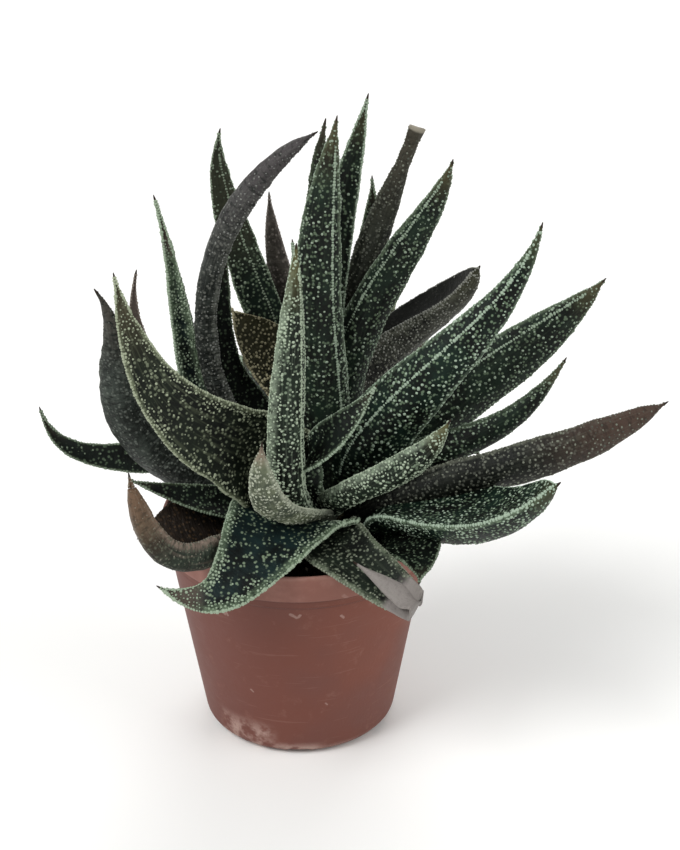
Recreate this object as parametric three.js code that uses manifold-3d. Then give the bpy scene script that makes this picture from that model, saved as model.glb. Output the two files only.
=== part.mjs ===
// A potted succulent: a rosette of thick, channelled leaves on a short stem, in soil, in a round pot.
// Millimetres, +Z up. The origin is the middle of the pot's underside, and -Y is the front.

import * as THREE from 'three';
import * as BufferGeometryUtils from 'three/addons/utils/BufferGeometryUtils.js';
import Module from 'manifold-3d';

// ---------- driving dimensions ----------

const CLEARANCE = 0.35;            // gap left between pieces that touch

// pot
const POT_HEIGHT = 88;
const POT_RIM_RADIUS = 52.5;
const POT_BASE_RADIUS = 38;        // outside, where the side meets the bottom edge
const POT_EDGE_ROUND = 6;          // radius of the rounded bottom edge
const POT_WALL = 1.5;
const POT_FLOOR = 2;
const POT_BAND_HEIGHT = 11;        // the band under the rim
const POT_BAND_STEP = 1.2;         // how far the band stands out from the side
const POT_SIDES = 36;
const EDGE_STEPS = 3;
const DRAIN_HOLES = 4;
const DRAIN_HOLE_RADIUS = 3.5;
const DRAIN_HOLE_CIRCLE = 22;
const NOTCHES = 6;
const NOTCH_WIDTH = 9;
const NOTCH_HEIGHT = 2.4;
const NOTCH_INNER_RADIUS = 30;

// soil
const SOIL_TOP = 78;
const SOIL_MOUND = 3;              // how much higher it is at the stem than at the wall
const SOIL_SIDES = 24;

// stem, which stands a little to the right of the pot's axis
const STEM_X = 12;
const STEM_Y = -1;
const STEM_BOTTOM = 64;
const STEM_TOP = 108;
const STEM_RADIUS = 9.5;
const STEM_SIDES = 16;

// leaves
const STATIONS = 11;               // sections between the base and the tip
const BASE_NARROWING = 0.55;       // width at the base, as a share of the full width
const BASE_LENGTH = 0.15;          // share of the length over which the base widens
const TIP_THINNING = 0.55;         // share of the thickness lost on the way to the tip
const EDGE_LIFT = 0.15;            // how far the path lies above the section's margin line
const SCAR_SIZE = 0.35;            // width of a blunt, healed tip, as a share of the full width

// ---------- leaves, the hand-picked table ----------
// path: the start at the stem, the curve's two pulling points and the tip. width, thick: at the widest
// place. channel: depth of the upper face's hollow. taper: low values narrow evenly, high values stay
// wide and then point. faces: azimuth and elevation that the upper face looks to, once for the whole
// leaf or, where it twists, at even steps from the base to the tip. skin: its finish. stations: more
// sections, for a sharp fold. scar: the tip is blunt, where it has broken off and healed.

const LEAVES = [
  { name: 'leaf_01', path: [[13, -7, 100], [9, -9, 162], [3, -20, 182], [15, -16, 248]],
    width: 19, thick: 7, channel: 1.5, taper: 4.2, faces: [90, -10], skin: 'green' },
  { name: 'leaf_02', path: [[8, -8, 96], [-10, -46, 93], [-1, -38, 154], [1, -30, 207]],
    width: 16, thick: 8, channel: 1.5, taper: 4.2, faces: [125, -5], skin: 'pale' },
  { name: 'leaf_03', path: [[12, -10, 91], [-1, -36, 106], [-14, -66, 114], [-11, -54, 143]],
    width: 15, thick: 5, channel: 1.5, taper: 6, faces: [90, 60, 80, -10], skin: 'pale' },
  { name: 'leaf_04', path: [[13, -9, 94], [12, -36, 114], [44, -40, 120], [55, -38, 144]],
    width: 14, thick: 6, channel: 1.5, taper: 5.6, faces: [95, 50, 95, -10], skin: 'green' },
  { name: 'leaf_05', path: [[17, -9, 89], [45, -3, 111], [56, -44, 91], [92, -61, 131]],
    width: 38, thick: 20, channel: 4, taper: 8, faces: [101, 112, 169, 84, 267, 86], skin: 'green' },
  { name: 'leaf_06', path: [[13, -11, 87], [-14, -27, 127], [-10, -77, 73], [-49, -60, 89]],
    width: 49, thick: 7, channel: 4.5, taper: 1.5, faces: [80, 60, 275, 60, 272, 50], skin: 'teal' },
  { name: 'leaf_07', path: [[3, -8, 94], [-11, -29, 141], [-48, -53, 127], [-61, -40, 200]],
    width: 42, thick: 6, channel: 4, taper: 1.4, faces: [285, 15], skin: 'green' },
  { name: 'leaf_08', path: [[20, -5, 95], [18, -22, 141], [77, -21, 166], [87, -14, 209]],
    width: 28.5, thick: 8, channel: 2, taper: 1.9, faces: [90, -15], skin: 'green' },
  { name: 'leaf_09', path: [[13, -9, 97], [-16, -25, 117], [12, -36, 129], [29, -26, 152]],
    width: 19, thick: 4, channel: 2, taper: 3.1, faces: [60, 60, 255, 30], skin: 'dark' },
  { name: 'leaf_10', path: [[13, -8, 87], [-15, -40, 112], [86, -96, 68], [21, -55, 96]], stations: 16,
    width: 29.5, thick: 4, channel: 1.5, taper: 1.8, skin: 'grey',
    faces: [280, 70, 268, 63, 255, 69, 149, 12, 84, -52] },
  { name: 'leaf_11', path: [[19, -8, 84], [34, -20, 87], [48, -40, 101], [44, -62, 91]],
    width: 31, thick: 6, channel: 4, taper: 3, faces: [265, 58], skin: 'dark' },
  { name: 'leaf_12', path: [[5, -8, 86], [-26, -27, 105], [-48, -70, 76], [-57, -60, 134]],
    width: 13, thick: 12, channel: 8, taper: 7, faces: [264, 73, 299, 137, 337, 100], skin: 'brown' },
  { name: 'leaf_13', path: [[20, -6, 88], [58, -20, 115], [89, -27, 116], [136, -14, 140]],
    width: 15.5, thick: 7, channel: 1, taper: 8.1, faces: [100, -10], skin: 'grey' },
  { name: 'leaf_14', path: [[20, -3, 91], [39, -11, 129], [73, -13, 109], [99, -6, 154]],
    width: 14, thick: 6, channel: 1.5, taper: 3.2, faces: [95, -5], skin: 'green' },
  { name: 'leaf_15', path: [[20, 2, 93], [48, 4, 130], [93, 10, 152], [114, 10, 179]],
    width: 23, thick: 7, channel: 1.5, taper: 4.7, faces: [95, -10], skin: 'green' },
  { name: 'leaf_16', path: [[19, 1, 100], [3, 10, 157], [50, 14, 192], [56, 2, 227]],
    width: 16.5, thick: 6, channel: 1.5, taper: 4.7, faces: [100, -15], skin: 'green' },
  { name: 'leaf_17', path: [[20, 5, 97], [0, 35, 149], [55, 42, 148], [68, 18, 181]],
    width: 22, thick: 21, channel: 12, taper: 8.5, faces: [175, 35], skin: 'grey' },
  { name: 'leaf_18', path: [[17, 4, 102], [14, 17, 158], [27, 21, 188], [44, 16, 235]],
    width: 14.5, thick: 6, channel: 1.5, taper: 3.7, faces: [100, -10], skin: 'grey', scar: true },
  { name: 'leaf_19', path: [[14, 3, 104], [2, 13, 155], [16, 16, 202], [26, 12, 248]],
    width: 15, thick: 5, channel: 1.5, taper: 3.9, faces: [270, 10], skin: 'green' },
  { name: 'leaf_20', path: [[13, 0, 104], [16, 2, 150], [2, 4, 199], [11, -2, 243]],
    width: 13, thick: 5, channel: 1.5, taper: 4, faces: [90, 10], skin: 'dark' },
  { name: 'leaf_21', path: [[4, 2, 96], [-50, 13, 123], [-45, 8, 204], [8, -4, 239]],
    width: 10, thick: 6, channel: 1, taper: 11.6, faces: [50, 0], skin: 'grey' },
  { name: 'leaf_22', path: [[2, -4, 89], [-97, -17, 124], [-51, -21, 157], [-70, -24, 188]],
    width: 19, thick: 7, channel: 2, taper: 3.8, faces: [75, 0], skin: 'grey' },
  { name: 'leaf_23', path: [[2, 0, 87], [-33, 4, 130], [-86, -12, 95], [-96, -4, 133]],
    width: 14.5, thick: 5, channel: 1.5, taper: 3.2, faces: [280, 30], skin: 'dark' },
  { name: 'leaf_24', path: [[3, -4, 86], [-13, -21, 101], [-36, -30, 106], [-61, -28, 115]],
    width: 15, thick: 4, channel: 1, taper: 3, faces: [300, 50], skin: 'dark' },
  { name: 'leaf_25', path: [[3, 3, 94], [-50, 6, 101], [-36, 9, 151], [-52, 16, 209]],
    width: 13, thick: 5, channel: 1.5, taper: 2.2, faces: [285, 10], skin: 'teal' },
  { name: 'leaf_26', path: [[2, 0, 95], [-22, -8, 122], [-66, -21, 148], [-56, -16, 192]],
    width: 12, thick: 4, channel: 1, taper: 2.8, faces: [290, 10], skin: 'red' },
  { name: 'leaf_27', path: [[5, 4, 98], [-23, 23, 134], [-34, 11, 132], [-26, 20, 187]],
    width: 12.5, thick: 4, channel: 1, taper: 3.3, faces: [300, 20], skin: 'dark' },
  { name: 'leaf_28', path: [[7, 6, 100], [-2, 39, 138], [-36, 36, 199], [-28, 30, 230]],
    width: 15, thick: 6, channel: 1.5, taper: 5.3, faces: [280, 10], skin: 'olive' },
  { name: 'leaf_29', path: [[6, 7, 98], [14, 20, 128], [-8, 20, 139], [-26, 26, 161]],
    width: 29, thick: 6, channel: 3, taper: 5, faces: [302, 25], skin: 'olive' },
  { name: 'leaf_30', path: [[9, 8, 102], [6, 44, 123], [-10, 41, 163], [-11, 44, 201]],
    width: 13, thick: 5, channel: 1, taper: 4, faces: [270, 10], skin: 'grey' },
  { name: 'leaf_31', path: [[16, 7, 102], [14, 26, 136], [30, 37, 173], [28, 36, 210]],
    width: 12.5, thick: 4, channel: 1, taper: 4.4, faces: [270, 10], skin: 'dark' },
  { name: 'leaf_32', path: [[13, 8, 101], [15, 21, 128], [14, 30, 157], [12, 38, 186]],
    width: 13, thick: 5, channel: 1.5, taper: 3.5, faces: [270, 10], skin: 'green' },
  { name: 'leaf_33', path: [[10, 8, 101], [6, 27, 125], [2, 47, 150], [-3, 66, 174]],
    width: 14, thick: 5, channel: 1.5, taper: 3.2, faces: [275, 25], skin: 'green' },
  { name: 'leaf_34', path: [[15, 8, 100], [22, 26, 121], [28, 42, 144], [41, 64, 158]],
    width: 15, thick: 5, channel: 1.5, taper: 3.2, faces: [250, 25], skin: 'olive' },
  { name: 'leaf_35', path: [[11, 9, 95], [13, 36, 114], [13, 64, 131], [12, 94, 145]],
    width: 20, thick: 7, channel: 2, taper: 3, faces: [270, 50], skin: 'green' },
  { name: 'leaf_36', path: [[17, 8, 94], [29, 33, 106], [41, 59, 117], [54, 84, 128]],
    width: 20, thick: 7, channel: 2, taper: 3, faces: [240, 50], skin: 'teal' },
  { name: 'leaf_37', path: [[20, 7, 92], [38, 24, 100], [56, 41, 103], [72, 50, 98]],
    width: 20, thick: 7, channel: 2, taper: 3, faces: [210, 60], skin: 'green' },
  { name: 'leaf_38', path: [[20, 3, 88], [39, 14, 95], [58, 24, 97], [76, 30, 88]],
    width: 18, thick: 6, channel: 2, taper: 3, faces: [200, 70], skin: 'grey' },
  { name: 'leaf_39', path: [[6, 8, 93], [-4, 32, 103], [-14, 55, 113], [-26, 80, 118]],
    width: 20, thick: 7, channel: 2, taper: 3, faces: [290, 50], skin: 'green' },
  { name: 'leaf_40', path: [[3, 6, 91], [-16, 26, 100], [-36, 45, 109], [-64, 54, 114]],
    width: 20, thick: 7, channel: 2, taper: 3, faces: [320, 55], skin: 'teal' },
  { name: 'leaf_41', path: [[2, 4, 88], [-21, 17, 95], [-46, 27, 102], [-74, 24, 104]],
    width: 18, thick: 6, channel: 2, taper: 3, faces: [340, 60], skin: 'green' },
  { name: 'leaf_42', path: [[9, 9, 88], [5, 37, 97], [0, 67, 102], [-6, 96, 92]],
    width: 22, thick: 6, channel: 2, taper: 3, faces: [280, 75], skin: 'grey' },
  { name: 'leaf_43', path: [[14, 9, 87], [24, 35, 96], [35, 64, 103], [44, 90, 86]],
    width: 22, thick: 6, channel: 2, taper: 3, faces: [250, 75], skin: 'green' },
  { name: 'leaf_44', path: [[18, 7, 86], [35, 26, 92], [54, 49, 100], [74, 60, 82]],
    width: 20, thick: 6, channel: 2, taper: 3, faces: [225, 75], skin: 'dark' },
  { name: 'leaf_45', path: [[5, 8, 87], [-13, 30, 93], [-32, 55, 102], [-48, 76, 84]],
    width: 20, thick: 6, channel: 2, taper: 3, faces: [305, 75], skin: 'green' },
  { name: 'leaf_46', path: [[-4, -6, 87], [-20, -16, 97], [-40, -28, 99], [-58, -36, 95]],
    width: 32, thick: 5, channel: 2.5, taper: 3.5, faces: [262, 45], skin: 'brown' },
];

// ---------- finishes ----------

const SKINS = {
  green: 0x2c4a3c,
  teal: 0x2d5450,
  dark: 0x1f302b,
  olive: 0x5a5a3e,
  pale: 0x6d7f68,
  grey: 0x55504f,
  brown: 0x75594f,
  red: 0x5c3434,
};

const potFinish = () => new THREE.MeshStandardMaterial({ color: 0x8a5446, roughness: 0.6, metalness: 0 });
const soilFinish = () => new THREE.MeshStandardMaterial({ color: 0x2b211b, roughness: 0.95, metalness: 0 });
const stemFinish = () => new THREE.MeshStandardMaterial({ color: 0x6b6a4c, roughness: 0.8, metalness: 0 });
const leafFinish = (skin) =>
  new THREE.MeshStandardMaterial({ color: SKINS[skin], roughness: 0.55, metalness: 0 });

// ---------- solids ----------

const wasm = await Module();
wasm.setup();

function solidFrom(geometry) {
  const bare = geometry.index ? geometry.toNonIndexed() : geometry.clone();
  bare.deleteAttribute('normal');
  bare.deleteAttribute('uv');
  const merged = BufferGeometryUtils.mergeVertices(bare, 1e-3);
  return new wasm.Manifold(new wasm.Mesh({
    numProp: 3,
    vertProperties: new Float32Array(merged.attributes.position.array),
    triVerts: new Uint32Array(merged.index.array),
  }));
}

function geometryFrom(solid) {
  const mesh = solid.getMesh();
  const geometry = new THREE.BufferGeometry();
  geometry.setAttribute('position', new THREE.BufferAttribute(mesh.vertProperties, 3));
  geometry.setIndex(new THREE.BufferAttribute(mesh.triVerts, 1));
  geometry.computeVertexNormals();
  return geometry;
}

function meshOf(name, solid, material) {
  const mesh = new THREE.Mesh(geometryFrom(solid), material);
  mesh.name = name;
  return mesh;
}

// a solid turned about Z, from an outline of [radius, height] points that ends on the axis
function turned(outline, sides) {
  const points = outline.map(([radius, height]) => new THREE.Vector2(radius, height));
  const geometry = new THREE.LatheGeometry(points, sides);
  geometry.rotateX(Math.PI / 2);
  return solidFrom(geometry);
}

// ---------- pot ----------

// radius of the pot's outside at a height above the rounded edge
function potOuterRadius(height) {
  const share = (height - POT_EDGE_ROUND) / (POT_HEIGHT - POT_BAND_HEIGHT - POT_EDGE_ROUND);
  const sideTop = POT_RIM_RADIUS - POT_BAND_STEP - 1;
  return POT_BASE_RADIUS + (sideTop - POT_BASE_RADIUS) * share;
}

function roundedEdge(radius, floor, round) {
  const points = [];
  for (let i = 0; i <= EDGE_STEPS; i += 1) {
    const angle = (Math.PI / 2) * (i / EDGE_STEPS);
    points.push([radius - round + round * Math.sin(angle), floor + round - round * Math.cos(angle)]);
  }
  return points;
}

function potShell() {
  const bandFoot = POT_HEIGHT - POT_BAND_HEIGHT;
  const bandRadius = POT_RIM_RADIUS - 0.8;
  const innerFoot = POT_EDGE_ROUND + POT_FLOOR;
  const outline = [
    [0, 0],
    ...roundedEdge(POT_BASE_RADIUS, 0, POT_EDGE_ROUND),
    [potOuterRadius(bandFoot), bandFoot],
    [bandRadius, bandFoot],
    [POT_RIM_RADIUS, POT_HEIGHT - 1],
    [POT_RIM_RADIUS - 0.5, POT_HEIGHT],
    [POT_RIM_RADIUS - POT_WALL, POT_HEIGHT],
    [potOuterRadius(bandFoot) - POT_WALL, bandFoot - 1],
    ...roundedEdge(potOuterRadius(innerFoot) - POT_WALL, POT_FLOOR, POT_EDGE_ROUND).reverse(),
    [0, POT_FLOOR],
  ];
  return turned(outline, POT_SIDES);
}

function drainHole(angle) {
  const hole = new THREE.CylinderGeometry(DRAIN_HOLE_RADIUS, DRAIN_HOLE_RADIUS, POT_FLOOR * 4, 12);
  hole.rotateX(Math.PI / 2);
  hole.translate(DRAIN_HOLE_CIRCLE * Math.cos(angle), DRAIN_HOLE_CIRCLE * Math.sin(angle), 0);
  return solidFrom(hole);
}

function drainNotch(angle) {
  const length = POT_BASE_RADIUS;
  const notch = new THREE.BoxGeometry(length, NOTCH_WIDTH, NOTCH_HEIGHT * 2);
  notch.translate(NOTCH_INNER_RADIUS + length / 2, 0, 0);
  notch.rotateZ(angle);
  return solidFrom(notch);
}

function potSolid() {
  let pot = potShell();
  for (let i = 0; i < DRAIN_HOLES; i += 1) {
    pot = pot.subtract(drainHole((i + 0.5) * (2 * Math.PI / DRAIN_HOLES)));
  }
  for (let i = 0; i < NOTCHES; i += 1) {
    pot = pot.subtract(drainNotch((i + 0.5) * (2 * Math.PI / NOTCHES)));
  }
  return pot;
}

// ---------- stem and soil ----------

function stemSolid(grow) {
  const radius = STEM_RADIUS + grow;
  const top = STEM_TOP + grow;
  const outline = [
    [0, STEM_BOTTOM - grow],
    [radius * 0.7, STEM_BOTTOM - grow],
    [radius, STEM_BOTTOM + 8],
    [radius, top - 14],
    [radius * 0.8, top - 6],
    [radius * 0.4, top - 1],
    [0, top],
  ];
  return turned(outline, STEM_SIDES).translate([STEM_X, STEM_Y, 0]);
}

function soilBody(grow) {
  const floor = POT_FLOOR + CLEARANCE;
  const innerFoot = POT_EDGE_ROUND + POT_FLOOR;
  const gap = POT_WALL + CLEARANCE;
  const outline = [
    [0, floor],
    ...roundedEdge(potOuterRadius(innerFoot) - gap, floor, POT_EDGE_ROUND),
    [potOuterRadius(SOIL_TOP - 4) - gap - 0.2, SOIL_TOP - 2 + grow],
    [potOuterRadius(SOIL_TOP) - gap - 3, SOIL_TOP + grow],
    [STEM_RADIUS * 2, SOIL_TOP + SOIL_MOUND * 0.8 + grow],
    [0, SOIL_TOP + SOIL_MOUND + grow],
  ];
  return turned(outline, SOIL_SIDES);
}

// the room that the pot's band takes, with its clearance, which leaves lying over it keep out of
function bandRoom() {
  const bandFoot = POT_HEIGHT - POT_BAND_HEIGHT;
  const outer = POT_RIM_RADIUS + CLEARANCE;
  const top = POT_HEIGHT + CLEARANCE;
  const innerTop = [POT_RIM_RADIUS - POT_WALL - CLEARANCE, top];
  const innerFoot = [potOuterRadius(bandFoot) - POT_WALL - CLEARANCE, bandFoot - 1];
  return turned([innerTop, innerFoot, [outer, bandFoot - 1], [outer, top], innerTop], POT_SIDES);
}

// ---------- leaves ----------

function direction([azimuth, elevation]) {
  const a = THREE.MathUtils.degToRad(azimuth);
  const e = THREE.MathUtils.degToRad(elevation);
  return new THREE.Vector3(Math.cos(a) * Math.cos(e), Math.sin(a) * Math.cos(e), Math.sin(e));
}

// the direction that a leaf's upper face looks to, at a share of the way from its base to its tip
function facing(faces, share) {
  const turns = faces.length / 2 - 1;
  if (turns === 0) return direction(faces);
  const step = Math.min(Math.floor(share * turns), turns - 1);
  const before = direction(faces.slice(step * 2, step * 2 + 2));
  const after = direction(faces.slice(step * 2 + 2, step * 2 + 4));
  return before.lerp(after, share * turns - step);
}

// a leaf's section: margins at the two sides, a hollow upper face and a keeled lower face
function leafSection(halfWidth, thickness, channel, grow) {
  const up = (hollow, depth) => EDGE_LIFT * thickness - hollow * channel - depth * thickness;
  return [
    [-halfWidth - grow, up(0, 0)],
    [-halfWidth * 0.55, up(0.75, 0) + grow],
    [0, up(1, 0) + grow],
    [halfWidth * 0.55, up(0.75, 0) + grow],
    [halfWidth + grow, up(0, 0)],
    [halfWidth * 0.62 + grow * 0.7, up(0, 0.62) - grow],
    [0, up(0, 1) - grow],
    [-halfWidth * 0.62 - grow * 0.7, up(0, 0.62) - grow],
  ];
}

function leafRings(leaf, grow) {
  const curve = new THREE.CubicBezierCurve3(...leaf.path.map((point) => new THREE.Vector3(...point)));
  const rings = [];
  const stations = leaf.stations ?? STATIONS;
  for (let i = 0; i <= stations; i += 1) {
    const share = i / stations;
    const centre = curve.getPointAt(share);
    const forward = curve.getTangentAt(share);
    if (i === 0) centre.addScaledVector(forward, -grow);
    const upward = facing(leaf.faces, share);
    upward.addScaledVector(forward, -upward.dot(forward)).normalize();
    const sideways = new THREE.Vector3().crossVectors(forward, upward);
    const left = Math.max(1 - share ** leaf.taper, leaf.scar ? SCAR_SIZE : 0);
    const widening = BASE_NARROWING + (1 - BASE_NARROWING) * Math.min(1, share / BASE_LENGTH);
    const thinLeft = Math.max(1 - share ** Math.max(leaf.taper, 4), leaf.scar ? SCAR_SIZE : 0) ** 0.8;
    const thickness = leaf.thick * (1 - TIP_THINNING * share) * thinLeft;
    const channel = leaf.channel * (1 - share) * left;
    const halfWidth = (leaf.width / 2) * widening * left;
    if (i === stations && !leaf.scar) {
      rings.push([centre.clone().addScaledVector(forward, grow)]);
    } else {
      rings.push(leafSection(halfWidth, thickness, channel, grow).map(([across, height]) =>
        centre.clone().addScaledVector(sideways, across).addScaledVector(upward, height)));
    }
  }
  return rings;
}

function middle(ring) {
  const sum = ring.reduce((total, point) => total.add(point), new THREE.Vector3());
  return sum.divideScalar(ring.length);
}

// closes a row of rings into one solid, with a point at each end
function loft(rings) {
  const closed = [[middle(rings[0])], ...rings];
  if (rings.at(-1).length > 1) closed.push([middle(rings.at(-1))]);
  const positions = [];
  const triangle = (a, b, c) => positions.push(...a.toArray(), ...b.toArray(), ...c.toArray());
  for (let i = 0; i < closed.length - 1; i += 1) {
    const here = closed[i];
    const next = closed[i + 1];
    const sides = Math.max(here.length, next.length);
    for (let j = 0; j < sides; j += 1) {
      const k = (j + 1) % sides;
      if (here.length === 1) {
        triangle(here[0], next[k], next[j]);
      } else if (next.length === 1) {
        triangle(here[j], here[k], next[0]);
      } else {
        triangle(here[j], here[k], next[j]);
        triangle(here[k], next[k], next[j]);
      }
    }
  }
  const geometry = new THREE.BufferGeometry();
  geometry.setAttribute('position', new THREE.Float32BufferAttribute(positions, 3));
  return solidFrom(geometry);
}

function largestPart(solid) {
  const parts = solid.decompose();
  return parts.reduce((best, part) => (part.volume() > best.volume() ? part : best));
}

function touches(a, b) {
  return [0, 1, 2].every((axis) => a.min[axis] < b.max[axis] && b.min[axis] < a.max[axis]);
}

const SIDE_STEPS = [
  [0, 0, 0],
  [CLEARANCE, 0, 0], [-CLEARANCE, 0, 0],
  [0, CLEARANCE, 0], [0, -CLEARANCE, 0],
  [0, 0, CLEARANCE], [0, 0, -CLEARANCE],
];

// takes away from a solid the room of another one and its clearance: the room is the grown shape and,
// where that leaves them touching, the finished shape moved to both sides along each axis
function keepOut(solid, { grown, finished }) {
  if (!touches(solid.boundingBox(), grown.boundingBox())) return solid;
  let kept = solid.subtract(grown);
  if (!finished || kept.intersect(finished).volume() === 0) return kept;
  for (const move of SIDE_STEPS) kept = kept.subtract(finished.translate(move));
  return kept;
}

// each leaf grows from the stem and is pressed in where an earlier leaf already lies
function leafSolids(fixed) {
  const taken = fixed.map((solid) => ({ grown: solid }));
  const solids = [];
  for (const leaf of LEAVES) {
    const finished = largestPart(taken.reduce(keepOut, loft(leafRings(leaf, 0))));
    solids.push([leaf, finished]);
    taken.push({ grown: loft(leafRings(leaf, CLEARANCE)), finished });
  }
  return solids;
}

// ---------- assembly ----------

const plant = new THREE.Group();
plant.name = 'potted_haworthia';

const pot = potSolid();
const soil = soilBody(0).subtract(stemSolid(CLEARANCE));
const stem = stemSolid(0);
const keptClear = [stemSolid(CLEARANCE), soilBody(CLEARANCE), bandRoom()];

plant.add(meshOf('pot', pot, potFinish()));
plant.add(meshOf('soil', soil, soilFinish()));
plant.add(meshOf('stem', stem, stemFinish()));

for (const [leaf, solid] of leafSolids(keptClear)) {
  plant.add(meshOf(leaf.name, solid, leafFinish(leaf.skin)));
}

export default plant;
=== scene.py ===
# %% [markdown]
# # A potted succulent
#
# The plant is a rosette of thick, channelled leaves on a short stem, in soil, in a thin terracotta
# coloured nursery pot. The frame from CAD gives every piece's place: the pot, the soil, the stem and 46
# leaves. Here each of them is made again with a smooth shape and a real finish, and the leaves get their
# raised white tubercles. Nothing in the object moves, so that every piece rides on the one body, "root".

# %% Load the frame
import math
from collections import namedtuple

import bpy
import numpy as np
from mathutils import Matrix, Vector


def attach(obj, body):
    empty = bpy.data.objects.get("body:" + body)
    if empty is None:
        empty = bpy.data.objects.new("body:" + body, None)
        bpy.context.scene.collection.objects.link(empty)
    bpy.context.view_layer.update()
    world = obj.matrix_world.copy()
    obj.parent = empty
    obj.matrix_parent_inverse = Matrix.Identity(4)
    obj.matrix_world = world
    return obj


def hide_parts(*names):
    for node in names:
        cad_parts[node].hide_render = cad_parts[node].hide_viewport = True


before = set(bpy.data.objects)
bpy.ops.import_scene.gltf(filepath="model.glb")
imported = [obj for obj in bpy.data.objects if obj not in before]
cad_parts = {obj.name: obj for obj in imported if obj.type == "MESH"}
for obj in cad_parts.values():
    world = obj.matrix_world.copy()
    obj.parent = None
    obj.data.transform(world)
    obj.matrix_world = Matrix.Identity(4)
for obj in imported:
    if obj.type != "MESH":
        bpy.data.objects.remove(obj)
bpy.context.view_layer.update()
MM = 0.001

# %% [markdown]
# ## Camera, floor and light
#
# The photograph looks down on the plant by about 25 degrees, here from 0.7 m away. The view is settled
# first, because every later choice is compared with the photograph through it. The light is that of a
# light tent: a pale world all round, one broad soft light above on the left, weaker ones on the right and
# behind, and a pale floor that throws light back up. They are suns with a wide disc: an area light would
# fade with distance and leave the far floor grey.

# %% Camera
IMAGE_WIDTH, IMAGE_HEIGHT = 680, 850
AIM = Vector((0.016, 0.0, 0.124))
DISTANCE = 0.7
LOOK_DOWN = math.radians(25.5)
FOCAL_PIXELS = 1857
SENSOR = 36.0

camera_data = bpy.data.cameras.new("photo_camera")
camera_data.sensor_fit = "VERTICAL"
camera_data.sensor_height = SENSOR
camera_data.sensor_width = SENSOR * IMAGE_WIDTH / IMAGE_HEIGHT
camera_data.lens = FOCAL_PIXELS * SENSOR / IMAGE_HEIGHT
camera = bpy.data.objects.new("photo_camera", camera_data)
bpy.context.collection.objects.link(camera)
camera.location = AIM + DISTANCE * Vector((0, -math.cos(LOOK_DOWN), math.sin(LOOK_DOWN)))
camera.rotation_euler = (math.radians(90) - LOOK_DOWN, 0, 0)
bpy.context.scene.camera = camera
print("lens", round(camera_data.lens, 2), "mm")

# %% Light and world
ROOM_STRENGTH = 0.45
bpy.context.scene.view_settings.view_transform = "Standard"


def soft_light(name, place, strength, spread):
    """A sun that shines from a place towards the plant. Its disc is `spread` degrees wide."""
    data = bpy.data.lights.new(name, "SUN")
    data.angle = math.radians(spread)
    data.energy = strength
    light = bpy.data.objects.new(name, data)
    bpy.context.collection.objects.link(light)
    light.location = place
    light.rotation_euler = (AIM - Vector(place)).to_track_quat("-Z", "Y").to_euler()


soft_light("tent_left", (-0.75, -0.55, 1.15), 2.0, 30)
soft_light("tent_right", (0.95, -0.35, 0.75), 0.9, 40)
soft_light("tent_back", (0.2, 0.9, 1.0), 1.1, 40)

world = bpy.data.worlds.new("pale_room")
world.use_nodes = True
background = world.node_tree.nodes["Background"]
background.inputs["Color"].default_value = (1.0, 1.0, 1.0, 1.0)
background.inputs["Strength"].default_value = ROOM_STRENGTH
bpy.context.scene.world = world

# %% [markdown]
# ## A short way to write node trees
#
# Finishes and scattered pieces are both node trees. A tree that is linked by hand takes a page for every
# sum, so that one small class wraps a socket and lets Python's own operators add the Math nodes, and one
# method adds any other node: its type, its settings, and then the values or links of its sockets.
# Numbers that are the same all over are worked out in Python and never become nodes.

# %% Signals and trees
class Signal:
    """A socket's number or colour. Sums of numbers add Math nodes."""

    def __init__(self, tree, socket):
        self.tree = tree
        self.socket = socket

    def also(self, output):
        """Another output of the same node."""
        return Signal(self.tree, self.socket.node.outputs[output])

    def math(self, operation, *values):
        return self.tree.node("ShaderNodeMath", {"operation": operation}, dict(enumerate(values)))

    def between(self, low, high, ramp="SMOOTHSTEP"):
        """0 below low, 1 above high and a ramp between them. With low above high it falls."""
        return self.tree.node("ShaderNodeMapRange", {"interpolation_type": ramp},
                              {"Value": self, "From Min": low, "From Max": high})


def operator(operation, reflected):
    """The method for one of Python's operators. A reflected one has a plain number on its left."""
    if reflected:
        return lambda self, other: self.math(operation, other, self)
    return lambda self, other: self.math(operation, self, other)


for name, operation in (("add", "ADD"), ("sub", "SUBTRACT"), ("mul", "MULTIPLY"), ("truediv", "DIVIDE")):
    setattr(Signal, f"__{name}__", operator(operation, False))
    setattr(Signal, f"__r{name}__", operator(operation, True))


class Tree:
    """A node tree, to which one method adds nodes."""

    def __init__(self, nodes):
        self.tree = nodes

    def node(self, kind, settings=None, inputs=None, output=0):
        node = self.tree.nodes.new(kind)
        for setting, value in (settings or {}).items():
            setattr(node, setting, value)
        for key, value in (inputs or {}).items():
            if isinstance(value, Signal):
                self.tree.links.new(value.socket, node.inputs[key])
            else:
                node.inputs[key].default_value = value
        return Signal(self, node.outputs[output]) if node.outputs else node


print("a tree is written with Tree.node and Signal's operators")

# %% Finish helpers
def paint(code):
    """A colour for a socket, from a hex code as a paint card gives it."""
    shares = [int(code[i:i + 2], 16) / 255 for i in (0, 2, 4)]
    return tuple(s / 12.92 if s <= 0.04045 else ((s + 0.055) / 1.055) ** 2.4 for s in shares) + (1.0,)


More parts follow.
